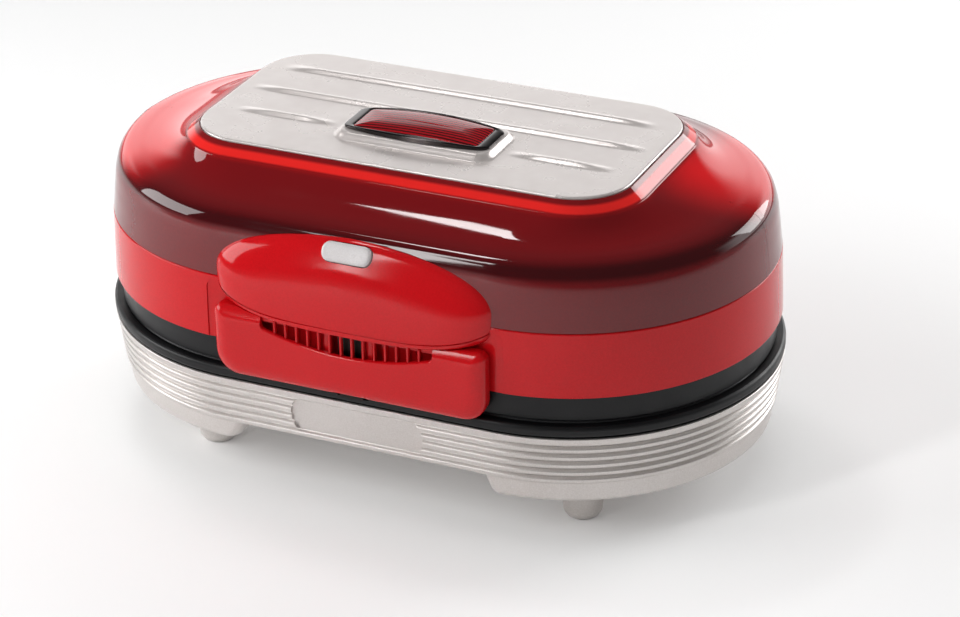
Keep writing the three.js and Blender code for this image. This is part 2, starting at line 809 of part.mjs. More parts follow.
function buildControls() {
  const underPlate = lowerPlateZ - seatGap;
  const bodyZ = underPlate - thermostatHeight;
  const tabs = [-1, 1].map((side) => block(
    side * tabSpacing - tabWidth / 2, side * tabSpacing + tabWidth / 2,
    -tabThickness / 2, tabThickness / 2, bodyZ - tabLength, bodyZ + tabThickness,
  ));
  tabs.forEach((tab) => tab.rotateZ(Math.PI / 2));
  const thermostat = join(post(thermostatRadius, bodyZ, underPlate, roundSteps), ...tabs);
  addMesh(base, 'thermostat', thermostat, ceramic).position.y = thermostatY;
  const fuse = post(fuseRadius, -fuseLength / 2, fuseLength / 2).rotateY(Math.PI / 2);
  addMesh(base, 'thermal_fuse', fuse, steel).position.set(0, fuseY, underPlate - fuseRadius);
  const frontY = elementTailY + seatGap;
  const blockZ = archFloorZ + seatGap;
  const slots = [-1, 0, 1].map((place) => block(
    place * blockSlotPitch - blockSlot / 2, place * blockSlotPitch + blockSlot / 2,
    frontY - cutOverrun, frontY + blockDepth + cutOverrun,
    blockZ + blockHeight - blockSlotDepth, blockZ + blockHeight + cutOverrun,
  ));
  const terminal = cut(
    block(-blockHalfLength, blockHalfLength, frontY, frontY + blockDepth, blockZ, blockZ + blockHeight),
    ...slots,
  );
  addMesh(base, 'terminal_block', terminal, ceramic);
  const outside = ribEnvelope(glandZ + glandFlangeRadius) + seatGap;
  const glandProfile = [
    [glandBore, outside - glandReachIn], [glandRadius, outside - glandReachIn], [glandRadius, outside],
    [glandFlangeRadius, outside], [glandFlangeRadius, outside + glandFlange],
    [glandBore, outside + glandFlange], [glandBore, outside - glandReachIn],
  ];
  const gland = turned(glandProfile, smallSteps).rotateX(-Math.PI / 2);
  addMesh(base, 'cord_gland', gland, black).position.z = glandZ;
}

/** Screw that points up, with its head flat on the bottom at height zero. */
function screw(length) {
  return turned([[0, 0], [screwHeadRadius, 0], [screwHeadRadius, screwHead], [screwRadius, screwHead],
    [screwRadius, length], [0, length]], screwSteps);
}

function buildScrews() {
  baseScrewPlaces().forEach(([x, y], place) => {
    const held = addMesh(base, `base_screw_${places[place]}`, screw(baseScrewLength), steel);
    held.position.set(x, y, podBottomZ);
  });
  const headY = lidInnerRadius - seatGap - screwHead;
  [['left', -1], ['right', 1]].forEach(([name, side]) => {
    const held = addMesh(lid, `handle_screw_${name}`, screw(handleScrewLength).rotateX(Math.PI / 2), steel);
    held.position.set(side * handleScrewX, -headY, handleScrewZ);
  });
}

function buildHingePins() {
  const reach = lugHalf + hingeSideGap + earThickness;
  const profile = [[0, -reach], [hingePinRadius, -reach], [hingePinRadius, reach + seatGap],
    [hingePinHeadRadius, reach + seatGap], [hingePinHeadRadius, reach + seatGap + hingePinHead],
    [0, reach + seatGap + hingePinHead]];
  [['left', -1], ['right', 1]].forEach(([name, side]) => {
    const pin = turned(profile, smallSteps).rotateY(side * Math.PI / 2);
    addMesh(base, `hinge_pin_${name}`, pin, steel).position.set(side * lugX, hingeY, hingeZ);
  });
}

function buildKeeper() {
  const keeper = block(
    -keeperHalf, keeperHalf, -keeperFrontY, -keeperFrontY + keeperDepth, keeperZ, keeperZ + keeperThickness,
  );
  addMesh(base, 'latch_keeper', keeper, steel);
}

// Lid

function handleScrewHoles() {
  return [-1, 1].map((side) => (
    post(screwRadius + pinGap, lidLedgeInner, handleFrontY - handleWall, screwSteps)
      .rotateX(Math.PI / 2).translate(side * handleScrewX, 0, handleScrewZ)
  ));
}

function buildLidInnerShell() {
  const shell = loft([
    stadium(lidWallRadius, lidBottomZ),
    stadium(lidWallRadius, lidStepZ),
    stadium(lidUpperRadius, lidStepZ),
    stadium(lidUpperRadius, lidShellTopZ),
    stadium(lidInnerRadius, lidShellTopZ),
    stadium(lidInnerRadius, lidLedgeZ + lidLedge),
    stadium(lidLedgeInner, lidLedgeZ + lidLedge),
    stadium(lidLedgeInner, lidLedgeZ),
    stadium(lidInnerRadius, lidLedgeZ),
    stadium(lidInnerRadius, lidBottomZ),
  ], true);
  const rootY = lidWallRadius - seatGap;
  const outline = new THREE.Shape();
  outline.moveTo(rootY, hingeZ);
  outline.lineTo(hingeY - knuckleRadius, hingeZ);
  outline.absarc(hingeY, hingeZ, knuckleRadius, -Math.PI, Math.PI / 2, false);
  outline.lineTo(rootY, hingeZ + lugRootHeight);
  const lugs = [-1, 1].map((side) => (
    prism(outline, lugHalf).applyMatrix4(sideView).translate(side * lugX, 0, 0)
  ));
  const bored = cut(join(shell, ...lugs), hingeBore(lugX * 2), ...handleScrewHoles());
  addMesh(lid, 'lid_inner_shell', bored, black);
}

function buildLidBand() {
  const band = loft([
    stadium(bandBottomRadius - bandEdge, bandBottomZ),
    stadium(bandBottomRadius, bandBottomZ + bandEdge),
    stadium(bandTopRadius + bandEdge / 2, bandTopZ - bandEdge),
    stadium(bandTopRadius - bandEdge / 2, bandTopZ),
    stadium(bandTopRadius - bandWall + seatGap, bandTopZ),
    stadium(bandBottomRadius - bandWall, bandBottomZ + bandEdge),
    stadium(bandBottomRadius - bandWall, bandBottomZ),
  ], true);
  addMesh(lid, 'lid_band', cut(band, ...handleScrewHoles()), redGloss);
}

/** Ring of the lid dome at one inset from the band, measured across the width. */
function domeRing(inset, z) {
  if (inset <= 0) {
    return stadium(bandTopRadius - inset, z);
  }
  if (inset >= domeInset) {
    const past = inset - domeInset;
    return roundedRing(domeTopHalfLength - past, domeTopHalfWidth - past, domeTopCorner - past, z);
  }
  const share = inset / domeInset;
  const halfLength = THREE.MathUtils.lerp(straightHalf + bandTopRadius, domeTopHalfLength, share);
  const corner = THREE.MathUtils.lerp(bandTopRadius, domeTopCorner, share ** domeCornerPowerShare);
  return roundedRing(halfLength, bandTopRadius - inset, corner, z);
}

/** The dome's profile as inset and height pairs, moved inwards square to itself. */
function domeProfile(shares, inwards) {
  const points = shares.map(([insetShare, heightShare]) => (
    new THREE.Vector2(insetShare * domeInset, domeBottomZ + heightShare * domeHeight)
  ));
  return points.map((point, place) => {
    const before = points[Math.max(place - 1, 0)];
    const after = points[Math.min(place + 1, points.length - 1)];
    const along = after.clone().sub(before).normalize();
    const level = place === 0 ? 0 : -along.x * inwards;
    return new THREE.Vector2(point.x + along.y * inwards, point.y + level);
  });
}

function domeRings(shares, inwards) {
  return domeProfile(shares, inwards).map((point) => domeRing(point.x, point.y));
}

function buildLidDome() {
  const ledgeLow = domeLedgeZ - domeWall;
  const lipInset = domeInset + domeBevelWidth + domeLip;
  const inner = domeRings(domeProfileShares, domeWall).reverse();
  const dome = loft([
    ...domeRings(domeProfileShares, 0),
    domeRing(domeInset + domeBevelWidth, bevelTopZ),
    domeRing(lipInset, bevelTopZ),
    domeRing(lipInset, domeLedgeZ),
    domeRing(lipInset + domeLedge, domeLedgeZ),
    domeRing(lipInset + domeLedge, ledgeLow),
    domeRing(domeInset + domeBevelWidth - domeLip, ledgeLow),
    ...inner,
  ], true);
  const frontWindow = block(
    -windowHalf, windowHalf, -bandTopRadius - cutOverrun, -bandTopRadius + domeInset / 4,
    domeBottomZ + windowLow, domeBottomZ + windowHigh,
  );
  addMesh(lid, 'lid_dome', cut(dome, frontWindow), darkRed);
}

function buildLidLiner() {
  const outer = domeWall + shellGap;
  const liner = loft([
    ...domeRings(linerProfileShares, outer + linerWall).reverse(),
    ...domeRings(linerProfileShares, outer),
  ]);
  addMesh(lid, 'lid_liner', liner, black);
}

function topPlateSize(inset) {
  const less = domeLip + topPlateGap + inset;
  return [bevelHalfLength - less, bevelHalfWidth - less, bevelCorner - less];
}

function flute({ across, from, to }) {
  const [plateHalf, plateHalfWidth] = topPlateSize(0);
  const halfLength = plateHalf * (to - from) / 2;
  const middle = plateHalf * (from + to) / 2;
  const y = plateHalfWidth * across;
  const lowZ = topPlateTopZ - fluteSink;
  const crestHalf = fluteCrest / 2;
  const taper = (fluteWidth - fluteCrest) / 2;
  return loft([
    roundedRing(halfLength, fluteWidth / 2, fluteWidth / 2, lowZ, y),
    roundedRing(halfLength, fluteWidth / 2, fluteWidth / 2, topPlateTopZ, y),
    roundedRing(halfLength - taper, crestHalf, crestHalf, topPlateTopZ + fluteHeight, y),
  ]).translate(middle, 0, 0);
}

function buildTopPlate() {
  const plate = loft([
    roundedRing(...topPlateSize(0), topPlateZ),
    roundedRing(...topPlateSize(0), topPlateTopZ - topPlateEdge),
    roundedRing(...topPlateSize(topPlateEdge), topPlateTopZ),
  ]);
  const boss = loft([
    roundedRing(bossHalfLength, bossHalfWidth, bossCorner, topPlateTopZ - fluteSink, badgeY),
    roundedRing(
      bossHalfLength - bossSlope, bossHalfWidth - bossSlope, bossCorner, topPlateTopZ + bossHeight, badgeY,
    ),
  ]);
  addMesh(lid, 'top_plate', join(plate, boss, ...flutePlaceShares.map(flute)), satinMetal);
}

function buildBadge() {
  const sized = (inset) => [badgeHalfLength - inset, badgeHalfWidth - inset, badgeCorner - inset];
  const frameTop = badgeZ + badgeFrameHeight;
  const rimInside = badgeRim - badgeRim / 3;
  const frame = loft([
    roundedRing(...sized(badgeRim), badgeZ + badgeFloor, badgeY),
    roundedRing(...sized(rimInside), frameTop, badgeY),
    roundedRing(...sized(badgeRim / 3), frameTop, badgeY),
    roundedRing(...sized(0), frameTop - badgeRim / 3, badgeY),
    roundedRing(...sized(0), badgeZ, badgeY),
  ].reverse());
  addMesh(lid, 'badge_frame', frame, steel);
  const plateSize = (inset) => sized(badgeRim + seatGap + inset);
  const plateZ = badgeZ + badgeFloor + seatGap;
  const arch = badgeArchShares.map(([insetShare, riseShare]) => (
    roundedRing(...plateSize(insetShare * badgeHalfWidth / 2), plateZ + badgePlateHeight * riseShare, badgeY)
  ));
  const plate = loft([roundedRing(...plateSize(0), plateZ, badgeY), ...arch]);
  addMesh(lid, 'badge_plate', plate, redGloss);
}

// Handle

/** Front outline of the handle body at one depth, drawn across X and Z. */
function handleRing(inset, depth) {
  const ring = [];
  const half = handleHalf - inset;
  const lowZ = handleBottomZ + inset;
  const highZ = handleBottomZ + handleHeight - inset;
  const low = handleLowCorner - inset / 2;
  const high = Math.max(handleHighCorner - inset / 2, handleHighCorner / 4);
  const turns = [[1, high, highZ], [-1, high, highZ], [-1, low, lowZ], [1, low, lowZ]];
  turns.forEach(([side, corner, edgeZ], quarter) => {
    const centreZ = edgeZ === highZ ? edgeZ - corner : edgeZ + corner;
    for (let step = 0; step <= cornerSteps; step += 1) {
      const angle = (quarter + step / cornerSteps) * Math.PI / 2;
      const x = side * (half - corner) + corner * Math.cos(angle);
      ring.push(new THREE.Vector3(x, -depth, centreZ + corner * Math.sin(angle)));
    }
  });
  return ring;
}

/** Height of the grille's curved lower edge at one place across the handle. */
function grilleEdgeZ(x) {
  const arcRadius = (grilleHalf ** 2 + grilleDrop ** 2) / (2 * grilleDrop);
  return grilleTopZ - grilleDrop + arcRadius - Math.sqrt(arcRadius ** 2 - x ** 2);
}

function grilleOpening() {
  const outline = [];
  for (let step = -cornerSteps; step <= cornerSteps; step += 1) {
    const x = step / cornerSteps * grilleHalf;
    outline.push([x, grilleEdgeZ(x)]);
  }
  outline.push([grilleHalf, capBottomZ], [-grilleHalf, capBottomZ]);
  const middleY = handleFrontY - handleWall / 2;
  return prism(outline, handleWall).applyMatrix4(frontView).translate(0, -middleY, 0);
}

function grilleFins() {
  const fins = [];
  const frontY = handleFrontY - finInset;
  for (let fin = 0; fin < finCount; fin += 1) {
    const x = (fin - (finCount - 1) / 2) * finPitch;
    fins.push(block(
      x - finThickness / 2, x + finThickness / 2, -frontY, -frontY + finDepth,
      grilleEdgeZ(x) - finRoot, capBottomZ - shellGap - finTopDrop,
    ));
  }
  return fins;
}

function pivotBore(radius, halfLength) {
  return post(radius, -halfLength, halfLength).rotateY(Math.PI / 2).translate(0, -pivotY, pivotZ);
}

function pivotBossReach() {
  return leverHalf + seatGap + springLength + seatGap;
}

/** Hole for the pivot pin, through the lever and both bosses. */
function pivotHole() {
  return pivotBore(pivotRadius + pinGap, pivotBossReach() + pivotBossWidth + cutOverrun);
}

function buildHandleBody() {
  const innerLevels = handleInnerShares.map(([insetShare, depthShare]) => (
    handleRing(handleWall + insetShare * handleEdge, handleBackY + depthShare * handleDepth)
  ));
  const outerLevels = handleEdgeShares.map(([insetShare, depthShare]) => (
    handleRing(insetShare * handleEdge, handleBackY + depthShare * handleDepth)
  ));
  const shell = loft([
    ...innerLevels, handleRing(handleWall, handleBackY), handleRing(0, handleBackY), ...outerLevels,
  ]);
  const frontInside = handleFrontY - handleWall / 2;
  const pivotBosses = [-1, 1].map((side) => {
    const near = side * pivotBossReach();
    const far = near + side * pivotBossWidth;
    return block(
      Math.min(near, far), Math.max(near, far), -frontInside, -handleBackY,
      grilleEdgeZ(0) - finRoot, capBottomZ - shellGap - finTopDrop,
    );
  });
  const screwBosses = [-1, 1].map((side) => (
    post(handleBossRadius, handleBackY, frontInside).rotateX(Math.PI / 2)
      .translate(side * handleScrewX, 0, handleScrewZ)
  ));
  const hookSlot = block(
    -hookSlotHalf, hookSlotHalf, -handleFrontY + handleWall, -handleBackY + cutOverrun,
    handleBottomZ - cutOverrun, handleBottomZ + handleWall + cutOverrun,
  );
  const relief = block(
    -handleHalf - cutOverrun, handleHalf + cutOverrun, -handleBackY - reliefDepth, -handleBackY + cutOverrun,
    handleBottomZ - cutOverrun, handleBottomZ + collarRelief,
  );
  const open = cut(shell, grilleOpening());
  const filled = join(open, ...grilleFins(), ...pivotBosses, ...screwBosses);
  const body = cut(
    filled, hookSlot, relief, capSolid(shellGap), pivotHole(), ...handleScrewHoles(),
  );
  addMesh(lid, 'handle_body', body, redGloss);
}

/** One quarter of a cubic curve between two points, without its last point. */
function quarterPoints(start, startPull, endPull, end) {
  const pulls = [start, startPull, endPull, end].map((pair) => new THREE.Vector2(...pair));
  return new THREE.CubicBezierCurve(...pulls).getPoints(capQuarterSteps).slice(0, -1);
}

/** Outline of the cap against the lid, counter-clockwise from its right-hand side. */
function capOutline(grow) {
  const half = capHalf + grow;
  const top = capHeight + grow;
  const side = capSideRise;
  const [topPullX, topPullZ] = capTopPullShares;
  const [lipPullZ, lipPullX] = capLipPullShares;
  const rise = [[half, side], [half, top * capSidePullShare], [half * topPullX, top * topPullZ], [0, top]];
  const fall = [[0, -grow], [half * lipPullX, -grow], [half, side * lipPullZ - grow], [half, side]];
  const mirror = (pairs) => pairs.map(([x, z]) => [-x, z]).reverse();
  return [...quarterPoints(...rise), ...quarterPoints(...mirror(rise)),
    ...quarterPoints(...mirror(fall)), ...quarterPoints(...fall)];
}

/** The cap as a full clam, larger or smaller than the real one by an even amount. */
function capSolid(grow) {
  const outline = capOutline(grow);
  const rings = capLevelShares.map((levelShare) => {
    const tall = Math.sqrt(1 - levelShare ** 2);
    const wide = (1 - levelShare ** 2) ** capWidthPowerShare;
    const y = -capRearY - (capDepth + grow) * levelShare;
    return outline.map((point) => (
      new THREE.Vector3(point.x * wide, y, capBottomZ - grow + (point.y + grow) * tall)
    ));
  });
  return loft(rings);
}

/** Everything the lid fills up to its shoulder, grown by a clearance. */
function lidFilled(grow) {
  const dome = domeRings(domeProfileShares, -grow);
  return loft([
    stadium(bandBottomRadius + grow, bandBottomZ - cutOverrun),
    stadium(bandBottomRadius + grow, bandBottomZ + bandEdge),
    stadium(bandTopRadius + bandEdge / 2 + grow, bandTopZ - bandEdge),
    ...dome,
  ]);
}

function buttonRing(grow, z, inset = 0) {
  const more = grow - inset;
  return roundedRing(buttonHalfLength + more, buttonHalfWidth + more, buttonCorner + more, z);
}

/** Where the middle of the button meets the cap's surface. */
function buttonSeat() {
  const tall = (buttonZ - capBottomZ) / capHeight;
  const y = -capRearY - capDepth * Math.sqrt(1 - tall ** 2);
  return new THREE.Vector3(0, y, buttonZ);
}

function placeButton(geometry) {
  return geometry.rotateX(buttonTilt).translate(...buttonSeat());
}

function buildHandleCap() {
  const buttonHole = placeButton(loft([
    buttonRing(pinGap, -buttonDepth - cutOverrun), buttonRing(pinGap, buttonProud + cutOverrun),
  ]));
  const leverSlot = block(
    -leverSlotHalf, leverSlotHalf, -leverFrontY - cutOverrun, -capRearY,
    capBottomZ - cutOverrun, capBottomZ + capWall * 2,
  );
  const cap = cut(capSolid(0), capSolid(-capWall), lidFilled(shellGap), buttonHole, leverSlot);
  addMesh(lid, 'handle_cap', cap, redGloss);
}

// Latch

function buildButton() {
  const body = loft([
    buttonRing(0, -buttonDepth),
    buttonRing(0, buttonProud - buttonEdge),
    buttonRing(0, buttonProud, buttonEdge),
  ]);
  const tabReach = buttonHalfLength + buttonTabReach;
  const tabs = block(
    -tabReach, tabReach, -buttonTabHalf, buttonTabHalf, -buttonDepth, -buttonDepth + buttonTab,
  );
  addMesh(latch, 'release_button', placeButton(join(body, tabs)), greyPlastic);
}

/** Side outline of the lever, from the hook's nose up to its pushed end. */
function leverOutline() {
  const front = -leverFrontY;
  const back = -leverBackY;
  const nose = -keeperFrontY - seatGap;
  return [
    [front, hookBottomZ], [back, hookBottomZ], [nose, hookBottomZ + hookHeight - hookNose],
    [nose, hookBottomZ + hookHeight], [back, hookBottomZ + hookHeight],
    [back, leverElbowZ], [back + leverOffset, leverKneeZ], [back + leverOffset, leverTopZ],
    [front + leverOffset, leverTopZ], [front + leverOffset, leverKneeZ], [front, leverElbowZ],
  ];
}

function buildLatchLever() {
  const blade = prism(leverOutline(), leverHalf).applyMatrix4(sideView);
  const eye = pivotBore(leverEyeRadius, leverHalf);
  const lever = cut(join(blade, eye), pivotHole());
  addMesh(latch, 'latch_lever', lever, steel);
  const pinReach = pivotBossReach() + pivotBossWidth;
  addMesh(lid, 'latch_pivot_pin', pivotBore(pivotRadius, pinReach), steel);
  const coil = [
    [springInner, 0], [springOuter, 0], [springOuter, springLength],
    [springInner, springLength], [springInner, 0],
  ];
  const spring = turned(coil, smallSteps).rotateY(Math.PI / 2);
  addMesh(lid, 'latch_spring', spring, steel).position.set(leverHalf + seatGap, -pivotY, pivotZ);
}

buildBaseShell();
buildFeet();
buildBaseCollar();
buildCookingPlates();
buildHeatingParts();
buildControls();
buildScrews();
buildHingePins();
buildKeeper();
buildLidInnerShell();
buildLidBand();
buildLidDome();
buildLidLiner();
buildTopPlate();
buildBadge();
buildHandleBody();
buildHandleCap();
buildButton();
buildLatchLever();

grill.position.y = assemblyShift;

export default grill;
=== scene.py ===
"""Electric burger grill with a ribbed silver base, a glossy red lid and a push-button latch handle.

Shapes are built in millimetres in a plan frame: x to the right, y from the middle of the body towards
the rear, z above the floor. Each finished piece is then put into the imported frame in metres.
"""

import logging
import math
from dataclasses import dataclass
from enum import Enum
from typing import Callable, Sequence

import bmesh
import bpy
from mathutils import Matrix, Vector
from mathutils.geometry import interpolate_bezier


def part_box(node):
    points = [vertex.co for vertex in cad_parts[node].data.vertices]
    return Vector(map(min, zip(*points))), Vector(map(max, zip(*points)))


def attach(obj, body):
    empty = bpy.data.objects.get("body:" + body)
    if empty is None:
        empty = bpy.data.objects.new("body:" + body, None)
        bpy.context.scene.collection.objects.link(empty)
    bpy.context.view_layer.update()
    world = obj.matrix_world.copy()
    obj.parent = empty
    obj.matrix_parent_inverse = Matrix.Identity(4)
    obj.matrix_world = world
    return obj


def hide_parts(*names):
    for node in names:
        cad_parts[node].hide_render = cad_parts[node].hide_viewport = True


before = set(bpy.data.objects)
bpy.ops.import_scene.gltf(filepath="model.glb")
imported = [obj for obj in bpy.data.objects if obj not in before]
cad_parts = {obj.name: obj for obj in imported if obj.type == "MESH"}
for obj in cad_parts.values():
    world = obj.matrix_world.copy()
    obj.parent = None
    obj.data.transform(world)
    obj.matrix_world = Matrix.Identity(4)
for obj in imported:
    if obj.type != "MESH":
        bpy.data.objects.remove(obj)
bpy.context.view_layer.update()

MM = 0.001
BAND_LOW, BAND_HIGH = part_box("lid_band")
# Middle of the plan along y, and how far the straight sides of the body reach, both read off the red band.
PLAN_Y = (BAND_LOW.y + BAND_HIGH.y) / 2 / MM
STRAIGHT_HALF = (BAND_HIGH.x - BAND_LOW.x - BAND_HIGH.y + BAND_LOW.y) / 2 / MM
# Stretches round a corner, round a turned piece, along a fillet and between two knots of a curve.
ROUND_STEPS = 40
TURNED_STEPS = 72
FILLET_STEPS = 5
CURVE_STEPS = 7
# Points closer than this are one point, and an edge sharper than this stays crisp.
WELD_MM = 0.0005
CREASE_ANGLE = math.radians(32)
# How far a cutter passes a surface, and the clearances of seats, of moving pins and round the clam.
OVERRUN = 2.0
SEAT_GAP = 0.3
PIN_GAP = 0.35
SHELL_GAP = 0.4
# Share of a side that a fillet may take up, and the least that a mitred corner is shortened to.
FILLET_SHARE = 0.49
LEAST_MITRE = 0.5
# Radius at which a turned profile ends on its axis.
TIP = 0.001
# Most of a noise lies between the first two values, and most of the product of two between the others.
NOISE_SPAN = (0.3, 0.7)
PRODUCT_SPAN = (0.1, 0.4)
LEAST_ROUGHNESS = 0.02
# Detail of the colour's drift, of its grain, of the gloss's patches and of the relief's grain.
DRIFT_DETAIL = 3.0
GRAIN_DETAIL = 1.0
PATCH_DETAIL = 4.0
RELIEF_DETAIL = 2.0
# Size of a patch of gloss as a share of the colour's drift.
PATCH_SHARE = 0.25
SIDES = (-1, 1)
QUARTERS = ((1, 1), (-1, 1), (-1, -1), (1, -1))
CORNERS = (("front_right", 1, -1), ("rear_right", 1, 1), ("rear_left", -1, 1), ("front_left", -1, -1))

Point = tuple[float, float, float]
Pair = tuple[float, float]
Ring = list[Point]
Corners = Sequence[tuple[float, ...]]
Tree = bpy.types.NodeTree
Socket = bpy.types.NodeSocket

# Turn to the body from a drawing that is seen from the side, with the height as its second number.
SIDE_VIEW = Matrix(((0, 0, 1), (1, 0, 0), (0, 1, 0))).to_4x4()

log = logging.getLogger("burger_grill")


class Body(Enum):
    """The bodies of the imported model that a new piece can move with."""

    BASE = "base"
    LID = "lid"
    BUTTON = "release_button"


class Work(Enum):
    """What a second solid does to the first."""

    ADD = "UNION"
    CUT = "DIFFERENCE"


# Shapes


@dataclass
class Form:
    """A closed surface as points and faces, in millimetres."""

    points: list[Point]
    faces: list[tuple[int, ...]]

    def changed(self, matrix: Matrix) -> "Form":
        """The form after a rotation or a move."""
        return Form([tuple(matrix @ Vector(point)) for point in self.points], self.faces)

    def moved(self, x: float = 0, y: float = 0, z: float = 0) -> "Form":
        """The form in another place."""
        return self.changed(Matrix.Translation((x, y, z)))

    def tilted(self, degrees: float, axis: str) -> "Form":
        """The form turned about one of the three axes through the origin."""
        return self.changed(Matrix.Rotation(math.radians(degrees), 4, axis))

    def sided(self, side: int) -> "Form":
        """The form as it is for the right side, 1, and mirrored for the left one, -1."""
        return self.changed(Matrix.Diagonal((side, 1, 1, 1)))

    def warped(self, rule: Callable[[Point], Point]) -> "Form":
        """The form with every point moved by a rule."""
        return Form([rule(point) for point in self.points], self.faces)

    def mesh(self, name: str) -> bpy.types.Mesh:
        """A welded mesh whose faces agree on one side: outwards, but inwards on the tinted dome.

        Args:
            name: the mesh's name.

        Returns:
            The mesh, in millimetres.
        """
        mesh = bpy.data.meshes.new(name)
        mesh.from_pydata(self.points, [], self.faces)
        work = bmesh.new()
        work.from_mesh(mesh)
        bmesh.ops.remove_doubles(work, verts=work.verts, dist=WELD_MM)
        bmesh.ops.dissolve_degenerate(work, edges=work.edges, dist=WELD_MM)
        bmesh.ops.recalc_face_normals(work, faces=work.faces)
        work.to_mesh(mesh)
        work.free()
        return mesh


def quarter_turn(steps: int = FILLET_STEPS) -> list[float]:
    """Angles from 0 to a quarter turn, in even steps."""
    return [math.pi / 2 * step / steps for step in range(steps + 1)]


def rounded_ring(
    half_length: float, half_width: float, corner: float, z: float, y: float = 0, steps: int = ROUND_STEPS
) -> Ring:
    """Rounded rectangle at one height, counter-clockwise from above.

    Args:
        half_length: half of its size along x.
        half_width: half of its size along y.
        corner: radius of its corners.
        z: height.
        y: middle of the ring along y.
        steps: stretches round each corner.

    Returns:
        The ring's points.
    """
    ring = []
    for quarter, (side_x, side_y) in enumerate(QUARTERS):
        for step in range(steps + 1):
            angle = (quarter + step / steps) * math.pi / 2
            point_x = side_x * (half_length - corner) + corner * math.cos(angle)
            point_y = y + side_y * (half_width - corner) + corner * math.sin(angle)
            ring.append((point_x, point_y, z))
    return ring


def body_ring(radius: float, z: float) -> Ring:
    """The body's own plan shape at one end radius: two round ends joined by straight sides."""
    return rounded_ring(STRAIGHT_HALF + radius, radius, radius, z)


def circle(radius: float, z: float, steps: int = TURNED_STEPS) -> Ring:
    """Circle about the vertical axis, counter-clockwise from above."""
    turn = math.tau / steps
    return [(radius * math.cos(turn * step), radius * math.sin(turn * step), z) for step in range(steps)]


def loft(rings: Sequence[Ring], closes: bool = False) -> Form:
    """Surface through rings of equal count.

    Args:
        rings: the rings in order.
        closes: True for a hollow band whose last ring meets its first; otherwise both ends are capped.

    Returns:
        A closed form.
    """
    points = [point for ring in rings for point in ring]
    count = len(rings[0])
    faces: list[tuple[int, ...]] = []
    for level in range(len(rings) if closes else len(rings) - 1):
        low, high = level * count, (level + 1) % len(rings) * count
        for side in range(count):
            beyond = (side + 1) % count
            faces.append((low + side, low + beyond, high + beyond, high + side))
    if not closes:
        faces.append(tuple(reversed(range(count))))
        faces.append(tuple(range(len(points) - count, len(points))))
    return Form(points, faces)


def body_loft(profile: Sequence[Pair], closes: bool = False) -> Form:
    """Surface that follows the body's plan shape, from radius and height pairs."""
    return loft([body_ring(radius, height) for radius, height in profile], closes)


def turned(profile: Sequence[Pair], steps: int = TURNED_STEPS, closes: bool = False) -> Form:
    """Solid of revolution about the vertical axis.

    Args:
        profile: radius and height pairs.
        steps: facets round the axis.
        closes: True for a ring whose profile closes on itself.

    Returns:
        A closed form.
    """
    return loft([circle(radius, height, steps) for radius, height in profile], closes)


def rod(radius: float, low: float, high: float) -> Form:
    """Plain cylinder on the vertical axis, used to bore holes and to add posts."""
    return turned([(radius, low), (radius, high)], TURNED_STEPS // 2)


def block(low: Point, high: Point) -> Form:
    """Box between two corners, used to cut notches and slots.

    Args:
        low: its front left lower corner.
        high: its rear right upper corner.

    Returns:
        A closed form.
    """
    floor = [(low[0], low[1]), (high[0], low[1]), (high[0], high[1]), (low[0], high[1])]
    return loft([[(x, y, height) for x, y in floor] for height in (low[2], high[2])])


def filleted(corners: Corners, closes: bool = False) -> list[Pair]:
    """Profile whose corners are rounded.

    Args:
        corners: horizontal place, height and, where the corner is rounded, its radius.
        closes: True where the last corner joins the first.

    Returns:
        The profile's points, with an arc at each rounded corner.
    """
    profile: list[Pair] = []
    count = len(corners)
    for place, corner in enumerate(corners):
        here = Vector(corner[:2])
        if len(corner) < 3 or (not closes and place in (0, count - 1)):
            profile.append(tuple(here))
            continue
        back = Vector(corners[place - 1][:2]) - here
        ahead = Vector(corners[(place + 1) % count][:2]) - here
        half_angle = back.angle(ahead) / 2
        reach = min(corner[2] / math.tan(half_angle), back.length * FILLET_SHARE, ahead.length * FILLET_SHARE)
        radius = reach * math.tan(half_angle)
        inward = (back.normalized() + ahead.normalized()).normalized()
        middle = here + inward * radius / math.sin(half_angle)
        start = here + back.normalized() * reach - middle
        finish = here + ahead.normalized() * reach - middle
        for step in range(FILLET_STEPS + 1):
            spoke = start.slerp(finish, step / FILLET_STEPS).normalized() * radius
            profile.append(tuple(middle + spoke))
    return profile


def tangent(points: Sequence[Vector], place: int) -> Vector:
    """Direction of a smooth curve at one of the points that it passes.

    Args:
        points: all points of the curve.
        place: which of them.

    Returns:
        The direction, one long.
    """
    if place in (0, len(points) - 1):
        return (points[min(place + 1, len(points) - 1)] - points[max(place - 1, 0)]).normalized()
    back = points[place] - points[place - 1]
    ahead = points[place + 1] - points[place]
    return (back.normalized() * ahead.length + ahead.normalized() * back.length).normalized()


def smooth_curve(points: Sequence[Pair], steps: int = CURVE_STEPS) -> list[Pair]:
    """Curve through every given point.

    Args:
        points: the points that it passes.
        steps: stretches between two of them.

    Returns:
        Points along the curve.
    """
    knots = [Vector(point) for point in points]
    curve = [tuple(knots[0])]
    for place, (start, end) in enumerate(zip(knots, knots[1:])):
        pull = (end - start).length / 3
        leave = start + tangent(knots, place) * pull
        arrive = end - tangent(knots, place + 1) * pull
        curve += [tuple(point) for point in interpolate_bezier(start, leave, arrive, end, steps + 1)[1:]]
    return curve


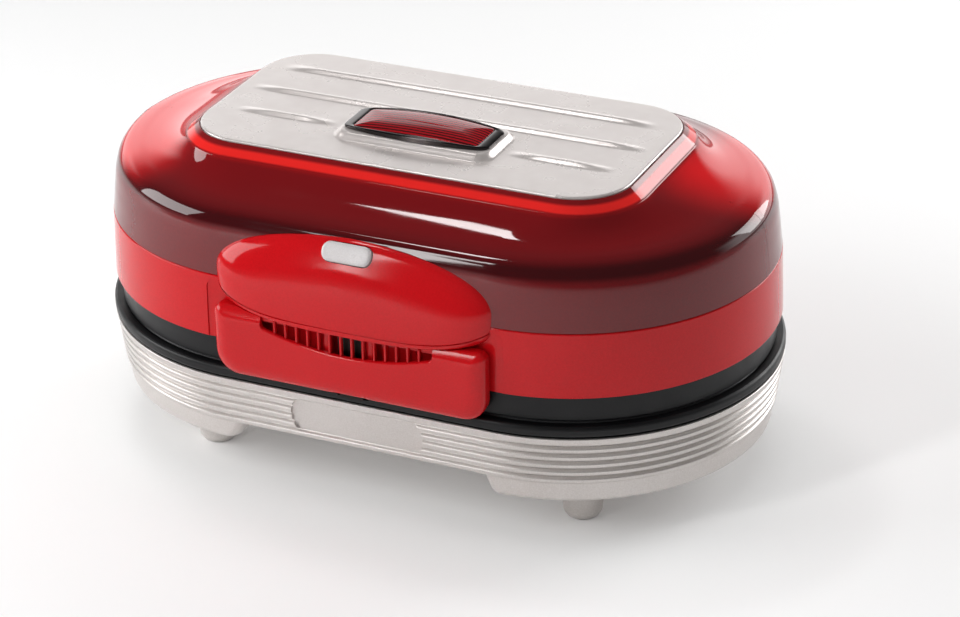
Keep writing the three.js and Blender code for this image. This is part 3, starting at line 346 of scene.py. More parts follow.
def offset_outline(outline: Sequence[Pair], distance: float) -> list[Pair]:
    """Outline moved outwards square to itself.

    Args:
        outline: corners of a closed outline, counter-clockwise.
        distance: how far it moves; inwards where negative.

    Returns:
        The moved corners.
    """
    moved = []
    for place, corner in enumerate(outline):
        here = Vector(corner)
        back = (here - Vector(outline[place - 1])).normalized()
        ahead = (Vector(outline[(place + 1) % len(outline)]) - here).normalized()
        across = Vector((back.y + ahead.y, -back.x - ahead.x)).normalized()
        mitre = max(across.dot(Vector((back.y, -back.x))), LEAST_MITRE)
        moved.append(tuple(here + across * distance / mitre))
    return moved


def prism(outline: Sequence[Pair], half_depth: float, edge: float) -> Form:
    """Outline drawn from the side, pulled out to both sides of its drawing.

    Args:
        outline: corners of the outline, counter-clockwise.
        half_depth: how far it reaches to each side.
        edge: radius of its rounded edges.

    Returns:
        A closed form.
    """
    near = [
        (edge * (math.sin(turn) - 1), half_depth - edge * (1 - math.cos(turn)))
        for turn in quarter_turn()[::-1]
    ]
    levels = [(grow, -depth) for grow, depth in reversed(near)] + near
    rings = [[(u, v, depth) for u, v in offset_outline(outline, grow)] for grow, depth in levels]
    return loft(rings).changed(SIDE_VIEW)


def arc(middle: Pair, radius: float, start: float, end: float, steps: int = ROUND_STEPS // 2) -> list[Pair]:
    """Points of an arc between two angles in degrees."""
    angles = [math.radians(start + (end - start) * step / steps) for step in range(steps + 1)]
    return [(middle[0] + radius * math.cos(angle), middle[1] + radius * math.sin(angle)) for angle in angles]


def tube(path: Sequence[Vector], radius: float, sides: int = 12) -> Form:
    """Round wire along a path.

    Args:
        path: points of its middle line.
        radius: radius of the wire.
        sides: facets round it.

    Returns:
        A closed form.
    """
    rings = []
    angles = [math.tau * step / sides for step in range(sides)]
    up = (path[1] - path[0]).orthogonal().normalized()
    for place, point in enumerate(path):
        along = (path[min(place + 1, len(path) - 1)] - path[max(place - 1, 0)]).normalized()
        up = (up - along * up.dot(along)).normalized()
        side = along.cross(up)
        spokes = [(up * math.cos(turn) + side * math.sin(turn)) * radius for turn in angles]
        rings.append([tuple(point + spoke) for spoke in spokes])
    return loft(rings)


def placed(name: str, data: bpy.types.ID) -> bpy.types.Object:
    """Puts a new object into the scene.

    Args:
        name: the object's name.
        data: its mesh, lamp or camera.

    Returns:
        The object.
    """
    piece = bpy.data.objects.new(name, data)
    bpy.context.scene.collection.objects.link(piece)
    return piece


def worked(blank: Form, *steps: tuple[Work, Form]) -> Form:
    """A form with other forms added to it or cut from it, one after another.

    Args:
        blank: the form to start from.
        steps: what is done, and with which form.

    Returns:
        The worked form.
    """
    body = placed("blank", blank.mesh("blank"))
    tools = []
    for work, form in steps:
        tool = placed("tool", form.mesh("tool"))
        change = body.modifiers.new(work.name, "BOOLEAN")
        change.operation = work.value
        change.solver = "MANIFOLD"
        change.object = tool
        tools.append(tool)
    shaped = body.evaluated_get(bpy.context.evaluated_depsgraph_get())
    mesh = shaped.to_mesh()
    points = [tuple(vertex.co) for vertex in mesh.vertices]
    faces = [tuple(face.vertices) for face in mesh.polygons]
    shaped.to_mesh_clear()
    for used in (body, *tools):
        bpy.data.objects.remove(used)
    return Form(points, faces)


def cut_by(*forms: Form) -> list[tuple[Work, Form]]:
    """Steps that cut each form away."""
    return [(Work.CUT, form) for form in forms]


def joined_with(*forms: Form) -> list[tuple[Work, Form]]:
    """Steps that add each form."""
    return [(Work.ADD, form) for form in forms]


# Finishes


def linear(colour: str) -> tuple[float, float, float, float]:
    """Linear colour of an sRGB hex value."""
    values = [int(colour[place:place + 2], 16) / 255 for place in (1, 3, 5)]
    return (*(v / 12.92 if v <= 0.04045 else ((v + 0.055) / 1.055) ** 2.4 for v in values), 1.0)


def per_metre(size_mm: float) -> float:
    """Pattern scale at which one feature is this many millimetres wide."""
    return 1 / (size_mm * MM)


def bare_tree(owner: bpy.types.Material | bpy.types.World) -> Tree:
    """Empties the node tree of a material or of the world.

    Args:
        owner: what the tree belongs to.

    Returns:
        The tree.
    """
    owner.use_nodes = True
    owner.node_tree.nodes.clear()
    return owner.node_tree


def add(tree: Tree, kind: str, inputs: dict | None = None, **settings: object) -> bpy.types.Node:
    """Adds one node.

    Args:
        tree: the node tree.
        kind: the node's type.
        inputs: for each input, a value or the output that feeds it.
        settings: the node's own settings.

    Returns:
        The node.
    """
    node = tree.nodes.new(kind)
    for key, value in settings.items():
        setattr(node, key, value)
    for key, value in (inputs or {}).items():
        if isinstance(value, Socket):
            tree.links.new(value, node.inputs[key])
        else:
            node.inputs[key].default_value = value
    return node


@dataclass(frozen=True)
class Finish:
    """A surface whose colour, gloss and fine relief vary as on the real material."""

    name: str
    slot: str
    colour: str
    drift: str
    roughness: float
    roughness_spread: float = 0.04
    drift_mm: float = 60.0
    grain_mm: float = 0.8
    grain_depth_mm: float = 0.01
    wave_mm: float = 12.0
    wave_depth_mm: float = 0.0
    metallic: float = 0.0
    specular: float = 0.5

    def paint(self, tree: Tree, place: Socket) -> Socket:
        """Colour that drifts slowly over the surface, with a trace of the grain in it.

        Args:
            tree: the material's node tree.
            place: coordinates on the piece, in metres.

        Returns:
            The colour.
        """
        slow, fine = (
            add(tree, "ShaderNodeTexNoise", {"Vector": place, "Scale": per_metre(size), "Detail": detail})
            for size, detail in ((self.drift_mm, DRIFT_DETAIL), (self.grain_mm, GRAIN_DETAIL))
        )
        share = add(tree, "ShaderNodeMath", {
            0: slow.outputs["Fac"], 1: fine.outputs["Fac"],
        }, operation="MULTIPLY")
        spread = add(tree, "ShaderNodeMapRange", {
            "Value": share.outputs[0], "From Min": PRODUCT_SPAN[0], "From Max": PRODUCT_SPAN[1],
        })
        mix = add(tree, "ShaderNodeMix", {
            "Factor": spread.outputs["Result"], "A": linear(self.colour), "B": linear(self.drift),
        }, data_type="RGBA")
        return mix.outputs["Result"]

    def gloss(self, tree: Tree, place: Socket) -> Socket:
        """Roughness with soft patches.

        Args:
            tree: the material's node tree.
            place: coordinates on the piece, in metres.

        Returns:
            The roughness.
        """
        patch = add(tree, "ShaderNodeTexNoise", {
            "Vector": place, "Scale": per_metre(self.drift_mm * PATCH_SHARE), "Detail": PATCH_DETAIL,
        })
        spread = add(tree, "ShaderNodeMapRange", {
            "Value": patch.outputs["Fac"], "From Min": NOISE_SPAN[0], "From Max": NOISE_SPAN[1],
            "To Min": max(self.roughness - self.roughness_spread, LEAST_ROUGHNESS),
            "To Max": self.roughness + self.roughness_spread,
        })
        return spread.outputs["Result"]

    def relief(self, tree: Tree, place: Socket) -> Socket:
        """Fine grain over slow waves.

        Args:
            tree: the material's node tree.
            place: coordinates on the piece, in metres.

        Returns:
            The bent normal.
        """
        bent = {}
        for size, detail, depth in (
            (self.wave_mm, 0.0, self.wave_depth_mm), (self.grain_mm, RELIEF_DETAIL, self.grain_depth_mm),
        ):
            noise = add(tree, "ShaderNodeTexNoise", {
                "Vector": place, "Scale": per_metre(size), "Detail": detail,
            })
            bump = add(tree, "ShaderNodeBump", {
                "Height": noise.outputs["Fac"], "Distance": depth * MM, "Strength": 1.0, **bent,
            })
            bent = {"Normal": bump.outputs["Normal"]}
        return bent["Normal"]

    def material(self) -> bpy.types.Material:
        """The finish as a material, made once.

        Returns:
            The material.
        """
        known = bpy.data.materials.get(self.name)
        if known:
            return known
        material = bpy.data.materials.new(self.name)
        tree = bare_tree(material)
        place = add(tree, "ShaderNodeTexCoord").outputs["Object"]
        shader = add(tree, "ShaderNodeBsdfPrincipled", {
            "Base Color": self.paint(tree, place), "Roughness": self.gloss(tree, place),
            "Normal": self.relief(tree, place), "Metallic": self.metallic,
            "Specular IOR Level": self.specular,
        })
        add(tree, "ShaderNodeOutputMaterial", {"Surface": shader.outputs["BSDF"]})
        return material


@dataclass(frozen=True)
class TintedDome(Finish):
    """Clear red acrylic over a dark lining, drawn opaque: deep in the middle, with painted bands of light and
    shade and a painted glow at both ends.
    """

    # Bands by height, all painted light and shade: a band of painted shade along the shoulder, then the
    # slope's deeper red, which is painted too.
    levels: tuple[tuple[float, float, str], ...] = (
        (134.5, 138.5, "#3C0307"), (141.0, 146.0, "#74090F"),
    )
    # Bands of the bevel: painted shade just below its foot, a painted highlight along its foot and painted
    # shade on its upper part.
    bevel_painted_light: tuple[tuple[float, float, str], ...] = (
        (153.8, 155.2, "#8A0C10"), (155.4, 156.2, "#E42420"), (158.0, 159.2, "#7A0E12"),
    )
    # A painted glow on both ends, as if light shone through them: it starts above the shoulder and leans, so
    # that it reaches further to the front on the left end than on the right.
    painted_glow_colour: str = "#DC141A"
    painted_glow_from: Pair = (100.0, 128.0)
    painted_glow_behind: Pair = (-60.0, -15.0)
    painted_glow_lean: float = 0.25
    painted_glow_above: Pair = (137.0, 143.0)

    def paint(self, tree: Tree, place: Socket) -> Socket:
        """Painted light and shade: a brownish wall, a painted shadow along the shoulder, a deep slope with a
        painted glow at both ends, and a painted highlight at the foot of the bevel.

        Args:
            tree: the material's node tree.
            place: coordinates on the piece, in metres.

        Returns:
            The colour.
        """
        parts = add(tree, "ShaderNodeSeparateXYZ", {"Vector": place})
        height = parts.outputs["Z"]
        reach = add(tree, "ShaderNodeMath", {0: parts.outputs["X"]}, operation="ABSOLUTE")
        lean = add(tree, "ShaderNodeMath", {0: parts.outputs["X"], 1: self.painted_glow_lean}, operation="MULTIPLY")
        behind = add(tree, "ShaderNodeMath", {
            0: parts.outputs["Y"], 1: lean.outputs[0],
        }, operation="SUBTRACT")
        # Mask of the painted glow, from the height, the reach along x and a leaning line across.
        ends = 1.0
        for value, (start, finish) in (
            (height, self.painted_glow_above), (reach.outputs[0], self.painted_glow_from), (behind.outputs[0], self.painted_glow_behind),
        ):
            ends = add(tree, "ShaderNodeMapRange", {
                "Value": value, "From Min": start * MM, "From Max": finish * MM, "To Max": ends,
            }, interpolation_type="SMOOTHSTEP").outputs["Result"]
        # Bands of painted light and shade by height, with the painted glow of the ends among them.
        painted_light_layers = []
        for start, finish, tint in (*self.levels, *self.bevel_painted_light):
            share = add(tree, "ShaderNodeMapRange", {
                "Value": height, "From Min": start * MM, "From Max": finish * MM,
            }, interpolation_type="SMOOTHSTEP")
            painted_light_layers.append((share.outputs["Result"], tint))
        painted_light_layers.insert(len(self.levels), (ends, self.painted_glow_colour))
        shade = super().paint(tree, place)
        for share, tint in painted_light_layers:
            shade = add(
                tree, "ShaderNodeMix", {"Factor": share, "A": shade, "B": linear(tint)}, data_type="RGBA",
            ).outputs["Result"]
        return shade


@dataclass(frozen=True)
class StripedLens(Finish):
    """Clear domed red resin over dark stripes."""

    stripe: str = "#2A0508"
    pitch_mm: float = 2.2
    stripe_share: float = 0.3
    stripe_edge: float = 0.12

    def paint(self, tree: Tree, place: Socket) -> Socket:
        """Red with thin dark stripes along its length.

        Args:
            tree: the material's node tree.
            place: coordinates on the piece, in metres.

        Returns:
            The colour.
        """
        parts = add(tree, "ShaderNodeSeparateXYZ", {"Vector": place})
        density = per_metre(self.pitch_mm)
        count = add(tree, "ShaderNodeMath", {0: parts.outputs["Y"], 1: density}, operation="MULTIPLY")
        phase = add(tree, "ShaderNodeMath", {0: count.outputs[0], 1: 0.5}, operation="PINGPONG")
        edge = self.stripe_share / 2
        line = add(tree, "ShaderNodeMapRange", {
            "Value": phase.outputs[0], "From Min": edge, "From Max": edge + self.stripe_edge,
        }, interpolation_type="SMOOTHSTEP")
        mix = add(tree, "ShaderNodeMix", {
            "Factor": line.outputs["Result"], "A": linear(self.stripe), "B": super().paint(tree, place),
        }, data_type="RGBA")
        return mix.outputs["Result"]


# Silver-pigmented ABS from a spark-eroded mould: a satin shell whose grain breaks up every highlight.
# The real grain of 0.1 mm is drawn at 0.7 mm, or it wouldn't show.
SILVER_ABS = Finish(
    "silver_abs_moulded_satin", "silver_plastic", "#D6D1CE", "#CAC4C0", 0.34, 0.05, 70, 0.7, 0.004,
    metallic=0.6,
)
# Black ABS with a matte moulded grain: charcoal with broken, speckled highlights.
BLACK_ABS = Finish(
    "black_abs_moulded_matte", "black_plastic", "#0C0C0E", "#121214", 0.38, 0.06, 40, 0.9, 0.01, specular=0.3,
)
# Opaque red ABS from a polished mould: wet-looking, with only a slow waviness in its reflections.
RED_ABS = Finish(
    "red_abs_moulded_gloss", "red_gloss", "#C81018", "#BC0D14", 0.1, 0.03, 80, 0.9, 0.0015, 14, 0.01,
    specular=0.3,
)
# Tinted clear acrylic, injection moulded and polished: a deep glassy red, whose brownish cast on the wall is
# partly a painted reflection and whose bands and bright ends are painted light and shade.
TINTED_ACRYLIC = TintedDome(
    "tinted_acrylic_moulded_gloss", "dark_red_gloss", "#721418", "#641418", 0.06, 0.02, 80, 0.9, 0.001,
    16, 0.01,
)
# Pressed aluminium under a silver lacquer: pale satin that takes a soft gradient instead of a reflection.
SILVER_LACQUER = Finish(
    "silver_lacquered_aluminium", "top_metal", "#D6CFCC", "#D0C8C5", 0.28, 0.02, 90, 8.0, 0.001, metallic=0.4,
)
# Dark nickel-chrome plating on ABS: a near-black mirror with bright edges.
DARK_CHROME = Finish(
    "dark_chrome_plated", "badge_rim", "#4A4646", "#3C3838", 0.12, 0.03, 30, 0.6, 0.002, metallic=1.0,
)
# Doming resin over a printed foil: wet and deep, with fine lines under the gloss.
LENS_RESIN = StripedLens(
    "domed_resin_striped", "badge_red", "#A8101A", "#900C16", 0.07, 0.02, 25, 0.8, 0.001, specular=0.25,
)
# Cast aluminium with a sprayed non-stick coating: dark grey with a pebbled, slightly oily sheen.
NON_STICK = Finish("cast_aluminium_non_stick", "cast_plate", "#343436", "#424244", 0.36, 0.07, 30, 0.8, 0.02)
# Plain low-carbon steel, drawn and zinc plated: bright with a faint cloudiness.
ZINC_STEEL = Finish(
    "steel_zinc_plated", "steel", "#B4B4B0", "#9C9C9A", 0.3, 0.06, 12, 0.5, 0.004, metallic=1.0,
)
# Spring steel, blackened: a dull near-black with worn brighter patches.
BLACKED_STEEL = Finish(
    "steel_blackened", "steel", "#38302F", "#2A2423", 0.42, 0.06, 8, 0.5, 0.004, metallic=1.0,
)
# Aluminised sheet, pressed: bright with cloudy spangle.
ALUMINISED_SHEET = Finish(
    "steel_sheet_aluminised", "steel", "#C4C4C2", "#A8A8A6", 0.28, 0.08, 9, 0.6, 0.004, metallic=1.0,
)
# Nickel-iron alloy sheath of a tubular heater: grey-brown from its first heating.
HEATER_SHEATH = Finish(
    "steel_sheath_heat_tinted", "steel", "#8E8680", "#6E625A", 0.4, 0.08, 14, 0.5, 0.004, metallic=1.0,
)
# Dark thermoplastic rubber, moulded: dry and lightly dusty.
RUBBER = Finish("rubber_moulded", "rubber", "#232323", "#303030", 0.75, 0.06, 12, 0.6, 0.02)
# Steatite ceramic, pressed and fired: chalky off-white.
STEATITE = Finish("steatite_fired", "ceramic", "#E4DED0", "#D4CCBC", 0.6, 0.05, 10, 0.5, 0.01)
# Light grey ABS with a satin mould finish: a soft, even sheen.
GREY_ABS = Finish("grey_abs_moulded_satin", "grey_button", "#CFCBCB", "#C4BFBF", 0.3, 0.04, 20, 0.6, 0.006)


def finished(name: str, form: Form, finish: Finish, body: Body, *nodes: str) -> None:
    """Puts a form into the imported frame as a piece.

    Args:
        name: the piece's name.
        form: its shape, in the plan frame.
        finish: its surface.
        body: the body that it moves with.
        nodes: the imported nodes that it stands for.
    """
    mesh = form.mesh(name)
    mesh.transform(Matrix.Translation((0, PLAN_Y * MM, 0)) @ Matrix.Scale(MM, 4))
    mesh.shade_smooth()
    mesh.set_sharp_from_angle(angle=CREASE_ANGLE)
    mesh.materials.append(finish.material())
    piece = placed(name, mesh)
    shading = piece.modifiers.new("flat_faces_lead", "WEIGHTED_NORMAL")
    shading.keep_sharp = True
    if nodes:
        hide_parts(*nodes)
    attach(piece, body.value)
    log.info("%s: %d faces on %s", name, len(mesh.polygons), body.value)


def dressed(finish: Finish, *nodes: str) -> None:
    """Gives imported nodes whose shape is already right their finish.

    Args:
        finish: their surface.
        nodes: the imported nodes.
    """
    for node in nodes:
        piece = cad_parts[node]
        for slot in piece.material_slots:
            slot.material = finish.material()
        log.info("%s: dressed with %s", node, finish.name)


# Base


@dataclass
class Housing:
    """Ribbed lower housing with a rounded pod under each end and an arch between them."""

    radius: float = 101.7
    taper: float = 3.5
    wall: float = 2.6
    rim_radius: float = 98.1
    rim_inset: float = 0.2
    pod_radius: float = 96.2
    pod_low: float = 23.55
    pod_fillet: float = 2.2
    pod_floor: float = 2.45
    pod_corner: float = 5.0
    pod_face_low: float = 66.8
    pod_face_high: float = 62.0
    pod_wall: float = 2.2
    pod_root: float = 1.0
    arch_top: float = 33.5
    arch_floor: float = 36.0
    rib_top: float = 59.0
    top: float = 59.2
    spigot_low: float = 54.7
    ribs: int = 6
    rib_steps: int = 18
    groove: float = 1.6
    groove_power: float = 3.0
    plate_half: float = 30.0
    plate_bulge: float = 4.0
    plate_low: float = 38.0
    plate_height: float = 16.7
    plate_root: float = 3.0
    plate_sink: float = 1.5
    gland_height: float = 46.0
    gland_radius: float = 6.35
    post_x: float = 130.83
    post_y: float = 62.65
    screw_radius: float = 1.85
    head_radius: float = 3.45
    head_depth: float = 1.3

    def envelope(self, height: float) -> float:
        """Radius over the crests of the ribs at one height."""
        return self.radius - (self.rib_top - height) * self.taper / (self.rib_top - self.arch_top)

    def post_spots(self) -> list[Pair]:
        """Where the four screws go up into the collar's posts."""
        return [(side_x * self.post_x, side_y * self.post_y) for side_x in SIDES for side_y in SIDES]

    def ribbed(self) -> Form:
        """The outside from the arch to the rim: soft crests with narrow grooves between them.

        Returns:
            A closed form.
        """
        pitch = (self.rib_top - self.arch_top) / self.ribs
        profile = []
        for step in range(self.ribs * self.rib_steps + 1):
            place = step / self.rib_steps
            height = self.arch_top + place * pitch
            share = (0.5 + 0.5 * math.cos(math.tau * place)) ** self.groove_power
            depth = 0 if place > self.ribs - 0.5 else self.groove * share
            profile.append((self.envelope(height) - depth, height))
        profile.append((self.radius - self.rim_inset, self.top))
        return body_loft(profile)

    def pod(self) -> Form:
        """The right-hand pod: round outside, with a slanted flat face towards the arch.

        Returns:
            A closed form that reaches a little into the body.
        """
        levels = [
            (self.pod_fillet * (1 - math.sin(turn)), self.pod_fillet * (1 - math.cos(turn)))
            for turn in quarter_turn()
        ]
        levels.append((0.0, self.arch_top + self.pod_root - self.pod_low))
        rings = []
        for inset, rise in levels:
            share = rise / (self.arch_top - self.pod_low)
            face = self.pod_face_low + (self.pod_face_high - self.pod_face_low) * share + inset
            reach = self.pod_radius - inset - self.pod_corner
            middle = face + self.pod_corner
            lean = math.degrees(math.asin(max(middle - STRAIGHT_HALF, 0) / reach))
            side = reach * math.cos(math.radians(lean))
            outline = [
                *arc((STRAIGHT_HALF, 0), reach + self.pod_corner, lean - 90, 90 - lean, ROUND_STEPS * 2),
                *arc((middle, side), self.pod_corner, 90 - lean, 180),
                *arc((middle, -side), self.pod_corner, 180, 270 + lean),
            ]
            rings.append([(x, y, self.pod_low + rise) for x, y in outline])
        return loft(rings)

    def plate_ring(self, depth: float) -> Ring:
        """Outline of the bare name plate, with outward curved ends.

        Args:
            depth: how far it lies below the crests of the ribs.

        Returns:
            The ring's points.
        """
        ring = []
        for side in (1, -1):
            for bulge, rise in arc((0, 0), 1, -90, 90):
                height = self.plate_low + self.plate_height * (1 + side * rise) / 2
                x = side * (self.plate_half + self.plate_bulge * bulge)
                ring.append((x, depth - self.envelope(height), height))
        return ring

    def hollow(self) -> list[Form]:
        """The room inside the body and both pods.

        Returns:
            The forms to cut away.
        """
        inside = self.pod_radius - self.wall
        rim = self.rim_radius
        body = body_loft([(inside, self.arch_floor), (rim, self.spigot_low), (rim, self.top + OVERRUN)])
        beside = block(
            (-2 * self.radius, -self.radius, 0),
            (self.pod_face_low + self.pod_wall, self.radius, self.arch_floor + OVERRUN),
        )
        pod = worked(
            body_loft([(inside, self.pod_low + self.pod_floor), (inside, self.arch_floor + SEAT_GAP)]),
            *cut_by(beside),
        )
        return [body, *(pod.sided(side) for side in SIDES)]

    def build(self) -> None:
        """Makes the housing."""
        under = self.pod_low - OVERRUN
        bore = rod(self.screw_radius, under, self.arch_floor)
        sink = rod(self.head_radius, under, self.pod_low + self.head_depth)
        holes = [rod(self.gland_radius, 0, self.radius + OVERRUN).tilted(-90, "X").moved(z=self.gland_height)]
        holes += [hole.moved(*spot) for spot in self.post_spots() for hole in (bore, sink)]
        plate = loft([self.plate_ring(self.plate_root), self.plate_ring(self.plate_sink / 2)])
        recess = loft([self.plate_ring(self.plate_sink), self.plate_ring(-OVERRUN)])
        shell = worked(
            self.ribbed(), *joined_with(plate, self.pod(), self.pod().sided(-1)),
            *cut_by(recess, *self.hollow(), *holes),
        )
        finished("ribbed_housing", shell, SILVER_ABS, Body.BASE, "base_shell")


@dataclass
class Feet:
    """Four tapered stub feet, each with a pad let into its sole."""

    x: float = 97.5
    y: float = 58.5
    # Radius, height and, at a rounded corner, its radius.
    stub: Corners = (
        (TIP, 1.8), (7.3, 1.8), (7.3, 0.4), (7.6, 0.4, 0.4), (9.3, 3.0, 1.6), (11.0, 23.25), (TIP, 23.25),
    )
    pad: Corners = ((TIP, 0), (7.0, 0, 0.5), (7.0, 1.5), (TIP, 1.5))

    def build(self) -> None:
        """Makes the feet and their pads."""
        stub, pad = (turned(filleted(profile)) for profile in (self.stub, self.pad))
        for name, side_x, side_y in CORNERS:
            spot = (side_x * self.x, side_y * self.y)
            finished(f"stub_foot_{name}", stub.moved(*spot), SILVER_ABS, Body.BASE, f"foot_{name}")
            finished(f"sole_pad_{name}", pad.moved(*spot), RUBBER, Body.BASE, f"foot_pad_{name}")


@dataclass
class Hinge:
    """Two pinned hinges at the rear: ears on the collar and a lug between each pair on the lid."""

    y: float = 108.0
    height: float = 67.0
    knuckle: float = 5.0
    bore: float = 2.35
    lug_x: float = 48.0
    lug_half: float = 6.0
    side_gap: float = 1.0
    ear: float = 5.0
    ear_root: float = 6.0
    ear_drop: float = 4.0
    edge: float = 0.5
    pin_radius: float = 2.0
    pin_end: float = 0.4
    # Radius, height over the outer ear and, at a rounded corner, its radius.
    head: Corners = ((2.0, 0.3), (3.4, 0.3, 0.2), (3.4, 1.5, 0.9), (TIP, 1.5))

    def ears(self, collar_top: float) -> list[Form]:
        """The ears that stand up from the collar.

        Args:
            collar_top: height of the collar's upper edge.

        Returns:
            All four ears.
        """
        root = self.y - self.knuckle - self.ear_root
        outline = [
            (root, collar_top - self.ear_drop), (self.y, self.height - self.knuckle),
            *arc((self.y, self.height), self.knuckle, -90, 180)[1:],
            (self.y - self.knuckle, collar_top - SEAT_GAP), (root, collar_top - SEAT_GAP),
        ]
        reach = self.lug_half + self.side_gap + self.ear / 2
        ear = prism(outline, self.ear / 2, self.edge)
        return [ear.moved(side * self.lug_x + step * reach) for side in SIDES for step in SIDES]

    def lugs(self, root: float, root_height: float) -> list[Form]:
        """The lugs on the lid's wall.

        Args:
            root: how far to the rear they start.
            root_height: how high they stand there over the pins.

        Returns:
            Both lugs.
        """
        outline = [
            (root, self.height), (self.y - self.knuckle, self.height),
            *arc((self.y, self.height), self.knuckle, -180, 90)[1:], (root, self.height + root_height),
        ]
        lug = prism(outline, self.lug_half, self.edge)
        return [lug.moved(side * self.lug_x) for side in SIDES]

    def hole(self) -> Form:
        """The bore for both pins."""
        half = self.lug_x * 2
        return rod(self.bore, -half, half).tilted(90, "Y").moved(0, self.y, self.height)

    def build(self) -> None:
        """Makes the smooth pins with their domed heads."""
        reach = self.lug_half + self.side_gap + self.ear
        shank = [(TIP, -2 * reach), (self.pin_radius, -2 * reach, self.pin_end)]
        pin = turned(filleted([*shank, *self.head]), TURNED_STEPS // 2).moved(z=reach)
        for name, side in (("left", -1), ("right", 1)):
            form = pin.tilted(90 * side, "Y").moved(side * self.lug_x, self.y, self.height)
            finished(f"smooth_hinge_pin_{name}", form, ZINC_STEEL, Body.BASE, f"hinge_pin_{name}")


@dataclass
class CrossScrew:
    """Screw with a low round head and a cross recess in it."""

    # Radius, height over the head's face and, at a rounded corner, its radius.
    profile: Corners = (
        (TIP, 0), (3.1, 0, 0.3), (3.1, 1.0, 0.4), (1.5, 1.0), (1.5, 15.4), (0.7, 16), (TIP, 16),
    )
    recess_reach: float = 2.1
    recess_half: float = 0.4
    recess_depth: float = 0.6

    def form(self) -> Form:
        """The screw, upright with its head at the bottom.

        Returns:
            A closed form.
        """
        reach, half = self.recess_reach, self.recess_half
        recess = block((-reach, -half, -OVERRUN), (reach, half, self.recess_depth))
        screw = turned(filleted(self.profile), TURNED_STEPS // 2)
        return worked(screw, *cut_by(recess, recess.tilted(90, "Z")))


@dataclass
class Collar:
    """Black ring that is screwed down on the housing and carries the lower cooking plate."""

    widest: float = 101.9
    face: float = 100.9
    spigot: float = 97.8
    low: float = 55.0
    seat: float = 59.5
    face_low: float = 60.2
    top: float = 65.5
    plate_seat: float = 96.6
    ledge: float = 91.5
    ledge_top: float = 62.6
    ledge_low: float = 60.2
    inner: float = 95.0
    # Reach over the face and height over the seat, then reach and share of the face's height.
    bead: tuple[Pair, ...] = ((0.0, 0.0), (0.3, 0.35), (-0.35, 0.58))
    bulge: tuple[Pair, ...] = ((0.0, 0.0), (0.6, 0.075), (1.0, 0.26), (1.0, 0.62), (0.5, 0.887), (-0.3, 1.0))
    rim_inset: float = 0.6
    rim_fillet: float = 0.5
    ledge_fillet: float = 0.4
    post_radius: float = 4.0
    post_root: float = 1.2
    bore_depth: float = 16.0
    notch_half: float = 8.0
    notch_low: float = 62.9
    notch_back: float = 98.2

    def profile(self) -> list[Pair]:
        """Closed section of the ring, from the spigot round the outside.

        Returns:
            Radius and height pairs.
        """
        rise = self.top - self.face_low
        bead = [(self.face + out, self.seat + up) for out, up in self.bead]
        outside = smooth_curve([(self.face + out, self.face_low + share * rise) for out, share in self.bulge])
        inside = filleted([
            (self.face - self.rim_inset, self.top), (self.plate_seat, self.top, self.rim_fillet),
            (self.plate_seat, self.ledge_top), (self.ledge, self.ledge_top, self.ledge_fillet),
            (self.ledge, self.ledge_low), (self.inner, self.ledge_low), (self.inner, self.low),
            (self.spigot, self.low), (self.spigot, self.seat),
        ])
        return bead + [(min(radius, self.widest), height) for radius, height in outside] + inside

    def build(self, housing: Housing, hinge: Hinge) -> None:
        """Makes the ring with its ears and screw posts.

        Args:
            housing: what it is screwed to.
            hinge: whose ears it carries.
        """
        floor = housing.pod_low + housing.pod_floor
        post = rod(self.post_radius, floor + SEAT_GAP, self.ledge_low + self.post_root)
        bore = rod(housing.screw_radius, housing.pod_low, floor + self.bore_depth)
        posts, bores = ([form.moved(*spot) for spot in housing.post_spots()] for form in (post, bore))
        notch = block(
            (-self.notch_half, -self.widest - OVERRUN, self.notch_low),
            (self.notch_half, -self.notch_back, self.top + OVERRUN),
        )
        ring = worked(
            body_loft(self.profile(), closes=True), *joined_with(*hinge.ears(self.top), *posts),
            *cut_by(notch, hinge.hole(), *bores),
        )
        finished("seam_collar", ring, BLACK_ABS, Body.BASE, "base_collar")
        dressed(BLACKED_STEEL, "latch_keeper")
        screw = CrossScrew().form()
        for name, side_x, side_y in CORNERS:
            spot = (side_x * housing.post_x, side_y * housing.post_y, housing.pod_low)
            finished(f"cross_screw_{name}", screw.moved(*spot), ZINC_STEEL, Body.BASE, f"base_screw_{name}")


@dataclass(frozen=True)
class Casting:
    """Where one cooking plate lies: its flange's end radius and underside, and the heights of its wells."""

    radius: float
    flange: float
    mouth: float
    floor: float
    cup: float


